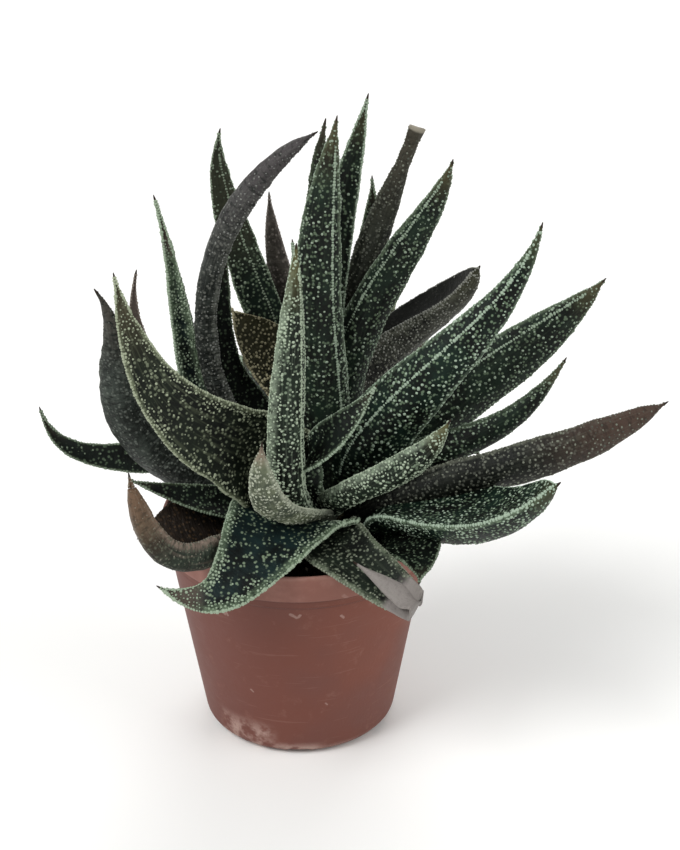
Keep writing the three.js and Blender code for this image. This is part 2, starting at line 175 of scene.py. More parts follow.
class Finish(Tree):
    """A material with one Principled shader, and the patterns that its finishes share."""

    def __init__(self, name, roughness=0.5, specular=0.5):
        self.material = bpy.data.materials.new(name)
        self.material.use_nodes = True
        super().__init__(self.material.node_tree)
        self.shader = self.tree.nodes["Principled BSDF"]
        self.shader.inputs["Roughness"].default_value = roughness
        self.shader.inputs["Specular IOR Level"].default_value = specular

    def place(self):
        """Object coordinates, in metres."""
        return self.node("ShaderNodeTexCoord").also("Object")

    def attribute(self, name):
        return self.node("ShaderNodeAttribute", {"attribute_name": name}, output="Fac")

    def flat_place(self, x, y):
        """A place for a pattern that runs along two numbers."""
        return self.node("ShaderNodeCombineXYZ", None, {"X": x, "Y": y})

    def split(self, vector):
        x = self.node("ShaderNodeSeparateXYZ", None, {0: vector})
        return x, x.also("Y"), x.also("Z")

    def stretch(self, vector, scale):
        """A vector with each axis multiplied, which stretches a pattern."""
        return self.node("ShaderNodeVectorMath", {"operation": "MULTIPLY"}, {0: vector, 1: scale})

    def noise(self, vector, scale, detail=2.0, roughness=0.5):
        return self.node(
            "ShaderNodeTexNoise", None,
            {"Vector": vector, "Scale": scale, "Detail": detail, "Roughness": roughness})

    def cells(self, vector, scale):
        return self.node("ShaderNodeTexVoronoi", None, {"Vector": vector, "Scale": scale})

    def blend(self, first, second, share):
        """A colour between two colours."""
        return self.node(
            "ShaderNodeMix", {"data_type": "RGBA"}, {0: share, 6: first, 7: second}, output=2)

    def layered(self, code, *layers):
        """A colour with others laid over it in turn, each a hex code and the share that it covers."""
        colour = paint(code)
        for over, share in layers:
            colour = self.blend(colour, paint(over), share)
        return colour

    def bump(self, height, distance, strength=1.0, below=None):
        inputs = {"Height": height, "Distance": distance, "Strength": strength}
        if below is not None:
            inputs["Normal"] = below
        return self.node("ShaderNodeBump", None, inputs)

    def give(self, socket, signal):
        """Feeds a varying signal to one of the shader's sockets, or sets a constant there."""
        if isinstance(signal, Signal):
            self.tree.links.new(signal.socket, self.shader.inputs[socket])
        else:
            self.shader.inputs[socket].default_value = signal


# %% Floor
def mesh_piece(name, points, faces):
    """A new, smooth object from points in metres and faces."""
    mesh = bpy.data.meshes.new(name)
    mesh.from_pydata([tuple(p) for p in points], [], faces)
    mesh.update()
    mesh.shade_smooth()
    piece = bpy.data.objects.new(name, mesh)
    bpy.context.collection.objects.link(piece)
    return piece


FLOOR_SIDE = 12.0

floor_finish = Finish("pale_floor", roughness=0.7, specular=0.2)
floor_finish.give("Base Color", floor_finish.layered(
    "f1f1ef", ("f5f5f3", floor_finish.noise(floor_finish.place(), 3.0))))
half_floor = FLOOR_SIDE / 2
floor = mesh_piece("floor", [(-half_floor, -half_floor, 0), (half_floor, -half_floor, 0),
                             (half_floor, half_floor, 0), (-half_floor, half_floor, 0)], [(0, 1, 2, 3)])
floor.data.materials.append(floor_finish.material)
print("floor", FLOOR_SIDE, "m square")

# %% [markdown]
# ## The leaves' shape
#
# A leaf here is a thick tongue: a hollow upper face, a keeled lower face, rounded margins, and a short
# dark spine at the tip. It follows a rule, the same that CAD's solids follow: a section is carried along
# a curve from the stem to the tip, gets narrower and thinner on the way, and turns as the leaf twists.
# The table repeats CAD's curves, in millimetres. It could be done with a Curve object and a bevel, but a
# bevel can't hollow one face and keel the other, so that the rings are worked out here, point by point.
# Each point also gets attributes that say where on the leaf it lies, and the finishes read them.

# %% The table of leaves
# number; finish; the curve's start, two pulling points and tip; width, thickness, hollow and taper;
# azimuth and elevation that the upper face looks to, once or at even steps; a healed, blunt tip
Leaf = namedtuple("Leaf", "number slot path width thick channel taper faces scar", defaults=(False,))

LEAVES = [Leaf(*row) for row in (
    (1, "green", ((13, -7, 100), (9, -9, 162), (3, -20, 182), (15, -16, 248)),
     19, 7, 1.5, 4.2, (90, -10)),
    (2, "pale", ((8, -8, 96), (-10, -46, 93), (-1, -38, 154), (1, -30, 207)), 16, 8, 1.5, 4.2, (125, -5)),
    (3, "pale", ((12, -10, 91), (-1, -36, 106), (-14, -66, 114), (-11, -54, 143)),
     15, 5, 1.5, 6, (90, 60, 80, -10)),
    (4, "green", ((13, -9, 94), (12, -36, 114), (44, -40, 120), (55, -38, 144)),
     14, 6, 1.5, 5.6, (95, 50, 95, -10)),
    (5, "green", ((17, -9, 89), (45, -3, 111), (56, -44, 91), (92, -61, 131)),
     38, 20, 4, 8, (101, 112, 169, 84, 267, 86)),
    (6, "teal", ((13, -11, 87), (-14, -27, 127), (-10, -77, 73), (-49, -60, 89)),
     49, 7, 4.5, 1.5, (80, 60, 275, 60, 272, 50)),
    (7, "green", ((3, -8, 94), (-11, -29, 141), (-48, -53, 127), (-61, -40, 200)),
     42, 6, 4, 1.4, (285, 15)),
    (8, "green", ((20, -5, 95), (18, -22, 141), (77, -21, 166), (87, -14, 209)),
     28.5, 8, 2, 1.9, (90, -15)),
    (9, "dark", ((13, -9, 97), (-16, -25, 117), (12, -36, 129), (29, -26, 152)),
     19, 4, 2, 3.1, (60, 60, 255, 30)),
    (10, "grey", ((13, -8, 87), (-15, -40, 112), (86, -96, 68), (21, -55, 96)),
     29.5, 4, 1.5, 1.8, (280, 70, 268, 63, 255, 69, 149, 12, 84, -52)),
    (11, "dark", ((19, -8, 84), (34, -20, 87), (48, -40, 101), (44, -62, 91)), 31, 6, 4, 3, (265, 58)),
    (12, "brown", ((5, -8, 86), (-26, -27, 105), (-48, -70, 76), (-57, -60, 134)),
     13, 12, 8, 7, (264, 73, 299, 137, 337, 100)),
    (13, "grey", ((20, -6, 88), (58, -20, 115), (89, -27, 116), (136, -14, 140)),
     15.5, 7, 1, 8.1, (100, -10)),
    (14, "green", ((20, -3, 91), (39, -11, 129), (73, -13, 109), (99, -6, 154)),
     14, 6, 1.5, 3.2, (95, -5)),
    (15, "green", ((20, 2, 93), (48, 4, 130), (93, 10, 152), (114, 10, 179)), 23, 7, 1.5, 4.7, (95, -10)),
    (16, "green", ((19, 1, 100), (3, 10, 157), (50, 14, 192), (56, 2, 227)),
     16.5, 6, 1.5, 4.7, (100, -15)),
    (17, "grey", ((20, 5, 97), (0, 35, 149), (55, 42, 148), (68, 18, 181)), 22, 21, 12, 8.5, (175, 35)),
    (18, "grey", ((17, 4, 102), (14, 17, 158), (27, 21, 188), (44, 16, 235)),
     14.5, 6, 1.5, 3.7, (100, -10), True),
    (19, "green", ((14, 3, 104), (2, 13, 155), (16, 16, 202), (26, 12, 248)), 15, 5, 1.5, 3.9, (270, 10)),
    (20, "dark", ((13, 0, 104), (16, 2, 150), (2, 4, 199), (11, -2, 243)), 13, 5, 1.5, 4, (90, 10)),
    (21, "grey", ((4, 2, 96), (-50, 13, 123), (-45, 8, 204), (8, -4, 239)), 10, 6, 1, 11.6, (50, 0)),
    (22, "grey", ((2, -4, 89), (-97, -17, 124), (-51, -21, 157), (-70, -24, 188)),
     19, 7, 2, 3.8, (75, 0)),
    (23, "dark", ((2, 0, 87), (-33, 4, 130), (-86, -12, 95), (-96, -4, 133)),
     14.5, 5, 1.5, 3.2, (280, 30)),
    (24, "dark", ((3, -4, 86), (-13, -21, 101), (-36, -30, 106), (-61, -28, 115)),
     15, 4, 1, 3, (300, 50)),
    (25, "teal", ((3, 3, 94), (-50, 6, 101), (-36, 9, 151), (-52, 16, 209)), 13, 5, 1.5, 2.2, (285, 10)),
    (26, "red", ((2, 0, 95), (-22, -8, 122), (-66, -21, 148), (-56, -16, 192)), 12, 4, 1, 2.8, (290, 10)),
    (27, "dark", ((5, 4, 98), (-23, 23, 134), (-34, 11, 132), (-26, 20, 187)),
     12.5, 4, 1, 3.3, (300, 20)),
    (28, "olive", ((7, 6, 100), (-2, 39, 138), (-36, 36, 199), (-28, 30, 230)),
     15, 6, 1.5, 5.3, (280, 10)),
    (29, "olive", ((6, 7, 98), (14, 20, 128), (-8, 20, 139), (-26, 26, 161)), 29, 6, 3, 5, (302, 25)),
    (30, "grey", ((9, 8, 102), (6, 44, 123), (-10, 41, 163), (-11, 44, 201)), 13, 5, 1, 4, (270, 10)),
    (31, "dark", ((16, 7, 102), (14, 26, 136), (30, 37, 173), (28, 36, 210)), 12.5, 4, 1, 4.4, (270, 10)),
    (32, "green", ((13, 8, 101), (15, 21, 128), (14, 30, 157), (12, 38, 186)),
     13, 5, 1.5, 3.5, (270, 10)),
    (33, "green", ((10, 8, 101), (6, 27, 125), (2, 47, 150), (-3, 66, 174)), 14, 5, 1.5, 3.2, (275, 25)),
    (34, "olive", ((15, 8, 100), (22, 26, 121), (28, 42, 144), (41, 64, 158)),
     15, 5, 1.5, 3.2, (250, 25)),
    (35, "green", ((11, 9, 95), (13, 36, 114), (13, 64, 131), (12, 94, 145)), 20, 7, 2, 3, (270, 50)),
    (36, "teal", ((17, 8, 94), (29, 33, 106), (41, 59, 117), (54, 84, 128)), 20, 7, 2, 3, (240, 50)),
    (37, "green", ((20, 7, 92), (38, 24, 100), (56, 41, 103), (72, 50, 98)), 20, 7, 2, 3, (210, 60)),
    (38, "grey", ((20, 3, 88), (39, 14, 95), (58, 24, 97), (76, 30, 88)), 18, 6, 2, 3, (200, 70)),
    (39, "green", ((6, 8, 93), (-4, 32, 103), (-14, 55, 113), (-26, 80, 118)), 20, 7, 2, 3, (290, 50)),
    (40, "teal", ((3, 6, 91), (-16, 26, 100), (-36, 45, 109), (-64, 54, 114)), 20, 7, 2, 3, (320, 55)),
    (41, "green", ((2, 4, 88), (-21, 17, 95), (-46, 27, 102), (-74, 24, 104)), 18, 6, 2, 3, (340, 60)),
    (42, "grey", ((9, 9, 88), (5, 37, 97), (0, 67, 102), (-6, 96, 92)), 22, 6, 2, 3, (280, 75)),
    (43, "green", ((14, 9, 87), (24, 35, 96), (35, 64, 103), (44, 90, 86)), 22, 6, 2, 3, (250, 75)),
    (44, "dark", ((18, 7, 86), (35, 26, 92), (54, 49, 100), (74, 60, 82)), 20, 6, 2, 3, (225, 75)),
    (45, "green", ((5, 8, 87), (-13, 30, 93), (-32, 55, 102), (-48, 76, 84)), 20, 6, 2, 3, (305, 75)),
    (46, "brown", ((-4, -6, 87), (-20, -16, 97), (-40, -28, 99), (-58, -36, 95)),
     32, 5, 2.5, 3.5, (262, 45)),
)]
print(len(LEAVES), "leaves")

# %% A leaf's curve and how it turns
BASE_NARROWING = 0.55
BASE_LENGTH = 0.15
TIP_THINNING = 0.55
EDGE_LIFT = 0.15
SCAR_SIZE = 0.35
CURVE_STEPS = 600


def bezier(path, t):
    """Places on a cubic curve at its own shares t, and its directions there."""
    a, b, c, d = path
    t = t[:, None]
    place = (1 - t) ** 3 * a + 3 * (1 - t) ** 2 * t * b + 3 * (1 - t) * t ** 2 * c + t ** 3 * d
    forward = (1 - t) ** 2 * (b - a) + 2 * (1 - t) * t * (c - b) + t ** 2 * (d - c)
    return place, forward / np.linalg.norm(forward, axis=1)[:, None]


def along_curve(leaf, share):
    """Places on the leaf's curve and its directions there, at shares of its length, and the length."""
    path = [np.array(p, float) * MM for p in leaf.path]
    t = np.linspace(0, 1, CURVE_STEPS + 1)
    steps = np.linalg.norm(np.diff(bezier(path, t)[0], axis=0), axis=1)
    run = np.concatenate([[0], np.cumsum(steps)])
    place, forward = bezier(path, np.interp(np.clip(share, 0, 1), run / run[-1], t))
    past = np.clip(share - 1, 0, None)[:, None] * run[-1]
    return place + past * forward, forward, run[-1]


def facing(leaf, share):
    """Where the upper face looks to, between the directions in the table."""
    turns = np.radians(np.array(leaf.faces, float).reshape(-1, 2))
    azimuth, elevation = turns[:, 0], turns[:, 1]
    ways = np.stack([np.cos(azimuth) * np.cos(elevation), np.sin(azimuth) * np.cos(elevation),
                     np.sin(elevation)], axis=1)
    steps = np.linspace(0, 1, len(ways))
    return np.stack([np.interp(np.clip(share, 0, 1), steps, ways[:, i]) for i in range(3)], axis=1)


# %% A leaf's section
EDGE_RADIUS = 0.95 * MM
EDGE_OF_HALF, EDGE_OF_FLESH = 0.45, 0.4   # its most, as shares of the half width and of the flesh
FACE_POINTS = 12                   # on each face, closer together towards the margins
MARGIN_POINTS = 5                  # round each margin
FACE_SPREAD = np.sin(np.linspace(-math.pi / 2, math.pi / 2, FACE_POINTS))


def section(half, thick, channel):
    """The outline of one section: points across and up."""
    lift = EDGE_LIFT * thick
    radius = min(EDGE_RADIUS, EDGE_OF_HALF * half, EDGE_OF_FLESH * (thick - channel))
    reach = half - radius
    faces = []
    for side, depth in ((1, channel + radius), (-1, thick - radius)):
        slope = 2 * depth * FACE_SPREAD / reach
        size = np.hypot(slope, 1)
        across = reach * FACE_SPREAD - side * radius * slope / size
        height = lift - depth * (1 - FACE_SPREAD ** 2) + side * radius / size
        faces.append((across, height, math.atan2(side, -side * slope[-1])))
    upper, lower = faces
    turn = np.linspace(upper[2], lower[2], MARGIN_POINTS + 2)[1:-1]
    cap_across = reach + radius * np.cos(turn)
    cap_height = lift + radius * np.sin(turn)
    across = np.concatenate([upper[0], cap_across, lower[0][::-1], -cap_across[::-1]])
    height = np.concatenate([upper[1], cap_height, lower[1][::-1], cap_height[::-1]])
    return across, height


cap_face = np.linspace(1, 0, MARGIN_POINTS + 2)[1:-1]
UPPER_SHARE = np.concatenate([np.ones(FACE_POINTS), cap_face, np.zeros(FACE_POINTS), cap_face[::-1]])
ON_MARGIN = np.abs(UPPER_SHARE - 0.5) < 1e-6
RING = len(UPPER_SHARE)
print(RING, "points in a section,", int(ON_MARGIN.sum()), "of them on the margins")

# %% Unevenness
DRIFT_STEPS = 400                  # values along the run before they come round again


def drift(seed, cells, turn, run, size):
    """Random values, -1 to 1, that change smoothly: round a closed ring of `cells`, of which `turn` is the
    share gone round, and along `run` in steps of `size`."""
    values = np.random.default_rng(seed).uniform(-1, 1, (cells, DRIFT_STEPS))
    x, y = np.asarray(turn) * cells, np.asarray(run) / size
    x0, y0 = np.floor(x).astype(int), np.floor(y).astype(int)
    fx, fy = x - x0, y - y0
    fx, fy = fx * fx * (3 - 2 * fx), fy * fy * (3 - 2 * fy)

    def corner(i, j):
        return values[(x0 + i) % cells, (y0 + j) % DRIFT_STEPS]

    low = corner(0, 0) * (1 - fx) + corner(1, 0) * fx
    high = corner(0, 1) * (1 - fx) + corner(1, 1) * fx
    return low * (1 - fy) + high * fy


# %% One leaf
RING_STEP = 1.0 * MM
SPINE_LENGTH = 2.4 * MM           # its last part reaches past CAD's tip
SPINE_PAST = 0.6 * MM
SPINE_RADIUS = 0.5 * MM
CALLUS = 0.5 * MM                  # how far a healed tip swells
CALLUS_FROM = 0.95                 # where it begins to, as a share of the length
TIP_CROWDING = 1.2                 # above 1, rings lie closer together towards the tip
THIN_TAPER, THIN_POWER = 4, 0.8    # the thickness tapers later and more slowly than the width
WIDTH_DRIFT, WIDTH_STEP = 0.03, 9 * MM
BULGES = (                         # seed, cells round a ring, height and run in mm, whether a wrinkle
    (100, 9, 0.22, 8, False), (200, 17, 0.10, 3.2, False), (300, 5, 0.16, 2.6, True))
BULGE_HALF = 3 * MM                # a leaf with less half width has lower bulges
BULGE_CORE = 2 * MM                # nearer to the section's middle, a bulge moves the skin less
HEALED_MM = 500                    # added to a healed leaf's distances from the tip, to mark them


def leaf_rings(leaf):
    """Every ring of the leaf's skin: points, outward directions, and the numbers the finishes need."""
    length = along_curve(leaf, np.array([0.0]))[2]
    past_tip = 0 if leaf.scar else SPINE_PAST / length
    count = int(length / RING_STEP)
    steps = np.linspace(0, 1, count + 1)
    share = (1 + past_tip) * (1 - (1 - steps) ** TIP_CROWDING)
    place, forward, _ = along_curve(leaf, share)
    upward = facing(leaf, share)
    upward -= (upward * forward).sum(axis=1)[:, None] * forward
    upward /= np.linalg.norm(upward, axis=1)[:, None]
    sideways = np.cross(forward, upward)

    blunt = SCAR_SIZE if leaf.scar else 0.0
    body_end = 1 if leaf.scar else 1 + past_tip - SPINE_LENGTH / length
    inside = np.clip(share / body_end, 0, 1)
    left = np.maximum(1 - inside ** leaf.taper, blunt)
    thin_left = np.maximum(1 - inside ** max(leaf.taper, THIN_TAPER), blunt) ** THIN_POWER
    widening = BASE_NARROWING + (1 - BASE_NARROWING) * np.minimum(1, share / BASE_LENGTH)
    half = leaf.width * MM / 2 * widening * left
    half *= 1 + WIDTH_DRIFT * drift(leaf.number, 3, 0 * share, share * length, WIDTH_STEP)
    thick = leaf.thick * MM * (1 - TIP_THINNING * inside) * thin_left
    channel = leaf.channel * MM * (1 - inside) * left
    spine = SPINE_RADIUS * np.sqrt(np.clip((1 + past_tip - share) * length / SPINE_LENGTH, 0, 1))
    if leaf.scar:
        swelling = CALLUS * np.clip((share - CALLUS_FROM) / 0.05, 0, 1)
        half, thick = half + swelling, thick + 2 * swelling
    else:
        half = np.hypot(half, spine)
        thick = np.hypot(thick, 2 * spine)
    return share, place, forward, upward, sideways, half, thick, channel, length


def tube_faces(rings, sides):
    """The faces of a closed tube of rings. Its two end points come after the rings' points."""
    around = [(j, (j + 1) % sides) for j in range(sides)]
    faces = [(a + j, a + k, a + sides + k, a + sides + j)
             for a in range(0, (rings - 1) * sides, sides) for j, k in around]
    last, base, tip = (rings - 1) * sides, rings * sides, rings * sides + 1
    for j, k in around:
        faces += [(base, k, j), (last + j, last + k, tip)]
    return faces


def leaf_skin(leaf, wrinkles):
    """The closed, smooth skin of one leaf, with its attributes."""
    share, place, forward, upward, sideways, half, thick, channel, length = leaf_rings(leaf)
    round_ring = np.arange(RING) / RING
    points, across_share, rim = [], [], []
    for i in range(len(share) - 1):
        across, height = section(half[i], thick[i], channel[i])
        along = np.full(RING, share[i] * length)
        bulge = sum((wrinkles if wrinkle else 1) * high * MM
                    * drift(leaf.number + seed, cells, round_ring, along, run * MM)
                    for seed, cells, high, run, wrinkle in BULGES)
        bulge *= min(1.0, half[i] / BULGE_HALF)
        size = np.hypot(across, height - height.mean()) + 1e-9
        across_moved = across * (1 + bulge / np.maximum(size, BULGE_CORE))
        height_moved = height + bulge * (height - height.mean()) / np.maximum(size, BULGE_CORE)
        points.append(place[i] + across_moved[:, None] * sideways[i] + height_moved[:, None] * upward[i])
        across_share.append(across / half[i])
        rim.append((half[i] - np.abs(across)) / MM)
    rings = len(points)
    points = np.concatenate(points + [place[:1] - 0.5 * MM * forward[:1], place[-1:]])
    shares = np.repeat(share[:-1], RING)
    numbers = {
        "across": np.append(np.concatenate(across_share), [0, 0]),
        "share": np.append(shares, [0, share[-1]]),
        "along_mm": np.append(shares * length / MM, [0, length / MM]),
        "from_tip_mm": np.append((share[-1] - shares) * length / MM + HEALED_MM * leaf.scar,
                                  [length / MM, HEALED_MM * leaf.scar]),
        "upper": np.append(np.tile(UPPER_SHARE, rings), [0.5, 0.5]),
        "rim_mm": np.append(np.concatenate(rim), [0, 0]),
    }
    on_margin = np.append(np.tile(ON_MARGIN, rings) & (shares > 0.05) & (shares < 0.99), [False, False])
    return points, tube_faces(rings, RING), numbers, on_margin


# %% [markdown]
# ## The leaves' skin
#
# The living leaves are a green that is nearly black, with a little teal where the light grazes it, paler
# and olive towards the margins, and browned at the tips; on the teal leaves the lighter patches are
# partly painted sheen. The older, drier ones are grey-brown with fine cross wrinkles. All of it is one
# recipe with different numbers: a slow change between two colours, a fine mottle, a pale band along the
# margins, a browned tip, a base darkened as painted shade, small flecks that are too flat to be tubercles,
# painted shade in the troughs of the wrinkles and over the hollow upper face of some leaves, and pores and
# wrinkles as bump. Colour that follows the leaf reads its attributes, and patterns with no direction read
# Object coordinates, so that they have no seams.

# %% One recipe for every skin
# base is a darker colour painted towards the leaf's base as painted shade; the last field is the share of
# painted shade over the hollow upper face
Skin = namedtuple("Skin", "deep light rim rim_mm fleck flecks tip tip_share tip_end base wrinkles streaks"
                          " shade", defaults=(0.0,))
SKIN_GLOSS = 0.16
PATCHES, MOTTLE, FLECKS, FLECK_PLACES, PORES = 85, 520, 620, 260, 1500   # pattern sizes, per metre
SPINE_BROWN, CALLUS_GREY = "2b2019", "8d8779"


def skin_finish(name, skin):
    finish = Finish(name, specular=SKIN_GLOSS)
    place = finish.place()
    share, along, across, rim_mm, from_tip, upper = (
        finish.attribute(n) for n in ("share", "along_mm", "across", "rim_mm", "from_tip_mm", "upper"))

    patches = finish.noise(place, PATCHES, 3.0, 0.6)
    mottle = finish.noise(place, MOTTLE, 2.0, 0.6)
    rim = rim_mm.between(skin.rim_mm, 0.0) * mottle.between(0.25, 0.6)
    fleck_places = finish.noise(place, FLECK_PLACES).between(0.6 - skin.flecks, 0.7 - skin.flecks)
    fleck = finish.cells(place, FLECKS).between(0.42, 0.22) * fleck_places
    streaks = finish.noise(finish.flat_place(across * 9, along * 0.06), 1.0, 2.0).between(0.5, 0.66)
    folds_and_crease_shade = finish.noise(finish.flat_place(across * 1.3, along * 0.55), 1.0, 3.0, 0.65)
    healed = from_tip.between(HEALED_MM - 1, HEALED_MM) * from_tip.between(HEALED_MM + 2, HEALED_MM + 1)
    finish.give("Base Color", finish.layered(
        skin.deep,
        (skin.light, patches.between(0.35, 0.68)),
        (skin.light, mottle.between(0.5, 0.75) * 0.55),
        (skin.rim, rim),
        (skin.fleck, fleck * 0.8),
        # painted shade: the skin darkened towards the leaf's base, by the stem
        (skin.base, share.between(0.3, 0.04) * 0.75),
        (skin.tip, (share + patches * 0.1).between(skin.tip_share, skin.tip_end)),
        (skin.rim, streaks * skin.streaks),
        # painted shade: the troughs of the fold pattern darkened towards the deep colour
        (skin.deep, folds_and_crease_shade.between(0.5, 0.36) * (0.55 * skin.wrinkles)),
        # painted shade: the hollow upper face darkened towards the deep colour, by the skin's last field
        (skin.deep, upper.between(0.5, 0.9) * skin.shade),
        (SPINE_BROWN, from_tip.between(2.6, 1.8)),
        (CALLUS_GREY, healed)))

    finish.give("Roughness", 0.42 + mottle * 0.22 + rim * 0.1)
    pores = finish.noise(place, PORES, 1.0)
    low = finish.bump(folds_and_crease_shade, 0.0009 * skin.wrinkles, 1.0)
    finish.give("Normal", finish.bump(pores + fleck * 0.8, 0.00012, 0.8, low))
    return finish.material


SKINS = {look: Skin(*row) for look, row in {
    "green": ("060a07", "15241a", "55634f", 1.2, "62735c", 0.3, "46412c", 0.88, 1.05, "0a0d08", 0.3, 0.1),
    "dotted": ("040805", "11231b", "60705c", 1.3, "6e8269", 0.3, "3c3f2a", 0.9, 1.05, "070a06", 0.2, 0),
    "dense": ("070b07", "1b261c", "7f8c79", 2.4, "7f8f78", 0.5, "54502f", 0.84, 1.04, "161d14", 0.4, 0.2),
    "pale": ("3b4236", "70775f", "9da391", 1.6, "a9ad9b", 0.5, "7a6a5c", 0.93, 1.03, "3a4036", 0.7, 0.2),
    # teal: its lighter patches are random tone and partly painted sheen
    "teal": ("040807", "122323", "5f7059", 4.6, "7d8e75", 0.25, "4b443c", 0.84, 0.93, "060806", 0.3, 0),
    "dark": ("040604", "0c140f", "48543f", 1.2, "52614d", 0.25, "38352a", 0.9, 1.04, "060806", 0.3, 0),
    "bright": ("040604", "0e1712", "5f6f59", 1.8, "52614d", 0.25, "38352a", 0.9, 1.04, "060806", 0.3, 0),
    "olive": ("060b07", "16211a", "5d6650", 1.6, "6f795f", 0.35, "45422a", 0.74, 0.98, "080b07", 0.4, 0.1),
    "tipped": ("050906", "14221a", "55614e", 1.2, "62735c", 0.3, "34362a", 0.6, 0.8, "0a0d08", 0.3, 0.1),
    "mound": ("080905", "1e1f14", "6b6750", 1.2, "7a7659", 0.6, "33321f", 0.6, 0.9, "040604", 0.6, 0.1),
    "streaked": ("040704", "171e15", "70785f", 2.0, "747c66", 0.35, "443f2e", 0.78, 1.05, "030403", 0.3, 0.2),
    "rusty": ("080c08", "1f221d", "5b5e52", 1.2, "62655b", 0.4, "46372f", 0.58, 0.95, "0a0d08", 0.7, 0.2),
    "ageing": ("0f130e", "31342c", "5b5e52", 1.2, "676a60", 0.4, "3e3a31", 0.7, 1.04, "0d100b", 0.7, 0.2),
    # hooded: 0.9 of painted shade over the hollow upper face
    "hooded": ("0a0c09", "474840", "6f7064", 1.5, "75776b", 0.5, "3b3b2c", 0.8, 1.04, "0d100b", 0.6, 0.2,
               0.9),
    "grey": ("161a17", "3f443f", "63665f", 1.2, "6c6e67", 0.45, "4a4647", 0.6, 1.0, "161a14", 1.3, 0.3),
    "faded": ("38342f", "67625a", "77706a", 1.2, "7c756e", 0.3, "57504a", 0.9, 1.04, "262822", 1.0, 0.2),
    "folded": ("060906", "182018", "66705c", 3.0, "6d7563", 0.3, "837d79", 0.66, 0.7, "050705", 0.2, 0.1),
    "brown": ("141a14", "373f36", "8a7a6e", 1.4, "5b6354", 0.3, "67513f", 0.7, 1.0, "0e120c", 0.8, 0.2),
    # painted shade: leaf 46, in the rosette's shaded hollow, gets a near-black skin
    "shade": ("0a0806", "211a14", "2b241c", 1.2, "4a3a28", 0.35, "2a2018", 0.7, 1.02, "080605", 0.8, 0.2),
    "red": ("282420", "504b45", "67605a", 1.2, "6f665f", 0.3, "544a44", 0.6, 1.0, "161712", 0.6, 0.1),
    "ribbed": ("131814", "39403a", "575c54", 1.2, "5c625b", 0.3, "43403a", 0.8, 1.0, "0e120e", 1.6, 0.2),
}.items()}
skins = {name: skin_finish("leaf_skin_" + name, skin) for name, skin in SKINS.items()}
print(len(skins), "skins with", sum(len(m.node_tree.nodes) for m in skins.values()), "nodes")

# %% [markdown]
# ## The tubercles
#
# The leaves are covered with raised, pearly tubercles, most about 1 mm across, in loose rows, closer
# together in a band along the margins, and strung like beads on the margins themselves. There are tens of
# thousands, so that Geometry Nodes scatter them: Distribute Points on Faces with a least distance puts
# them where the leaf's attributes ask for them, and the margin's own edges, made a curve and cut at even
# steps, carry the beads. Each is one low dome of 22 triangles. Bump alone would leave the outline smooth.

# %% One dome
DOME_SIDES = 6
DOME_RINGS = ((1.0, -0.22), (0.78, 0.34))
DOME_TOP = 0.62


def dome():
    """A low dome of radius 1, closed underneath."""
    points, faces = [], []
    for radius, height in DOME_RINGS:
        for i in range(DOME_SIDES):
            angle = 2 * math.pi * i / DOME_SIDES
            points.append((radius * math.cos(angle), radius * math.sin(angle), height))
    points.append((0, 0, DOME_TOP))
    for i in range(DOME_SIDES):
        j = (i + 1) % DOME_SIDES
        faces.append((i, j, DOME_SIDES + j, DOME_SIDES + i))
        faces.append((DOME_SIDES + i, DOME_SIDES + j, 2 * DOME_SIDES))
    faces.append(tuple(reversed(range(DOME_SIDES))))
    return mesh_piece("tubercle_dome", points, faces)


def triangle_count(piece):
    return sum(len(f.vertices) - 2 for f in piece.data.polygons)


dome_piece = dome()
print("dome:", triangle_count(dome_piece), "triangles")

# %% The tree that scatters them
TRIES = 5.0                        # points tried for each one that the least distance leaves


def new_geometry_tree(name, inputs):
    """An empty Geometry Nodes tree with named inputs. Gives the tree, its input signals by name and the
    identifier of each input."""
    group = bpy.data.node_groups.new(name, "GeometryNodeTree")
    group.interface.new_socket("Geometry", in_out="OUTPUT", socket_type="NodeSocketGeometry")
    identifiers = {}
    for label, kind in inputs:
        socket = group.interface.new_socket(label, in_out="INPUT", socket_type="NodeSocket" + kind)
        identifiers[label] = socket.identifier
    tree = Tree(group)
    entry = tree.node("NodeGroupInput")
    return tree, {label: entry.also(label) for label, _ in inputs}, identifiers


def named(tree, name, kind="FLOAT"):
    return tree.node("GeometryNodeInputNamedAttribute", {"data_type": kind}, {"Name": name})


def random_number(tree, low, high, seed):
    return tree.node("FunctionNodeRandomValue", {"data_type": "FLOAT"},
                     {2: low, 3: high, "Seed": seed}, output=1)


def random_vector(tree, low, high, seed):
    return tree.node("FunctionNodeRandomValue", {"data_type": "FLOAT_VECTOR"},
                     {0: low, 1: high, "Seed": seed})


def spread_points(tree, ground, spacing, tries, cover, seed):
    """Points on faces, at least `spacing` apart, as thick as the attribute `cover` asks."""
    return tree.node("GeometryNodeDistributePointsOnFaces", {"distribute_method": "POISSON"}, {
        "Mesh": ground, "Distance Min": spacing, "Density Max": tries / (spacing * spacing),
        "Density Factor": named(tree, cover), "Seed": seed})


def shape_of(tree, source):
    return tree.node("GeometryNodeObjectInfo", None, {"Object": source}).also("Geometry")


def domes_on(tree, points, turn, shape, size, seed, paleness):
    """Domes of uneven size and outline on points. Each keeps a random `tone`, raised by `paleness`."""
    stretch = random_vector(tree, (0.8, 0.8, 0.7), (1.25, 1.25, 1.15), seed)
    uneven = random_number(tree, 0.55, 1.15, seed * 7 + 1)
    scale = tree.node("ShaderNodeVectorMath", {"operation": "SCALE"}, {0: stretch, "Scale": size * uneven})
    domes = tree.node("GeometryNodeInstanceOnPoints", None, {
        "Points": points, "Instance": shape, "Rotation": turn, "Scale": scale})
    return tree.node("GeometryNodeStoreNamedAttribute", {"data_type": "FLOAT", "domain": "INSTANCE"}, {
        "Geometry": domes, "Name": "tone",
        "Value": uneven * 0.5 + random_number(tree, 0, 0.6, seed * 7 + 2) + paleness})


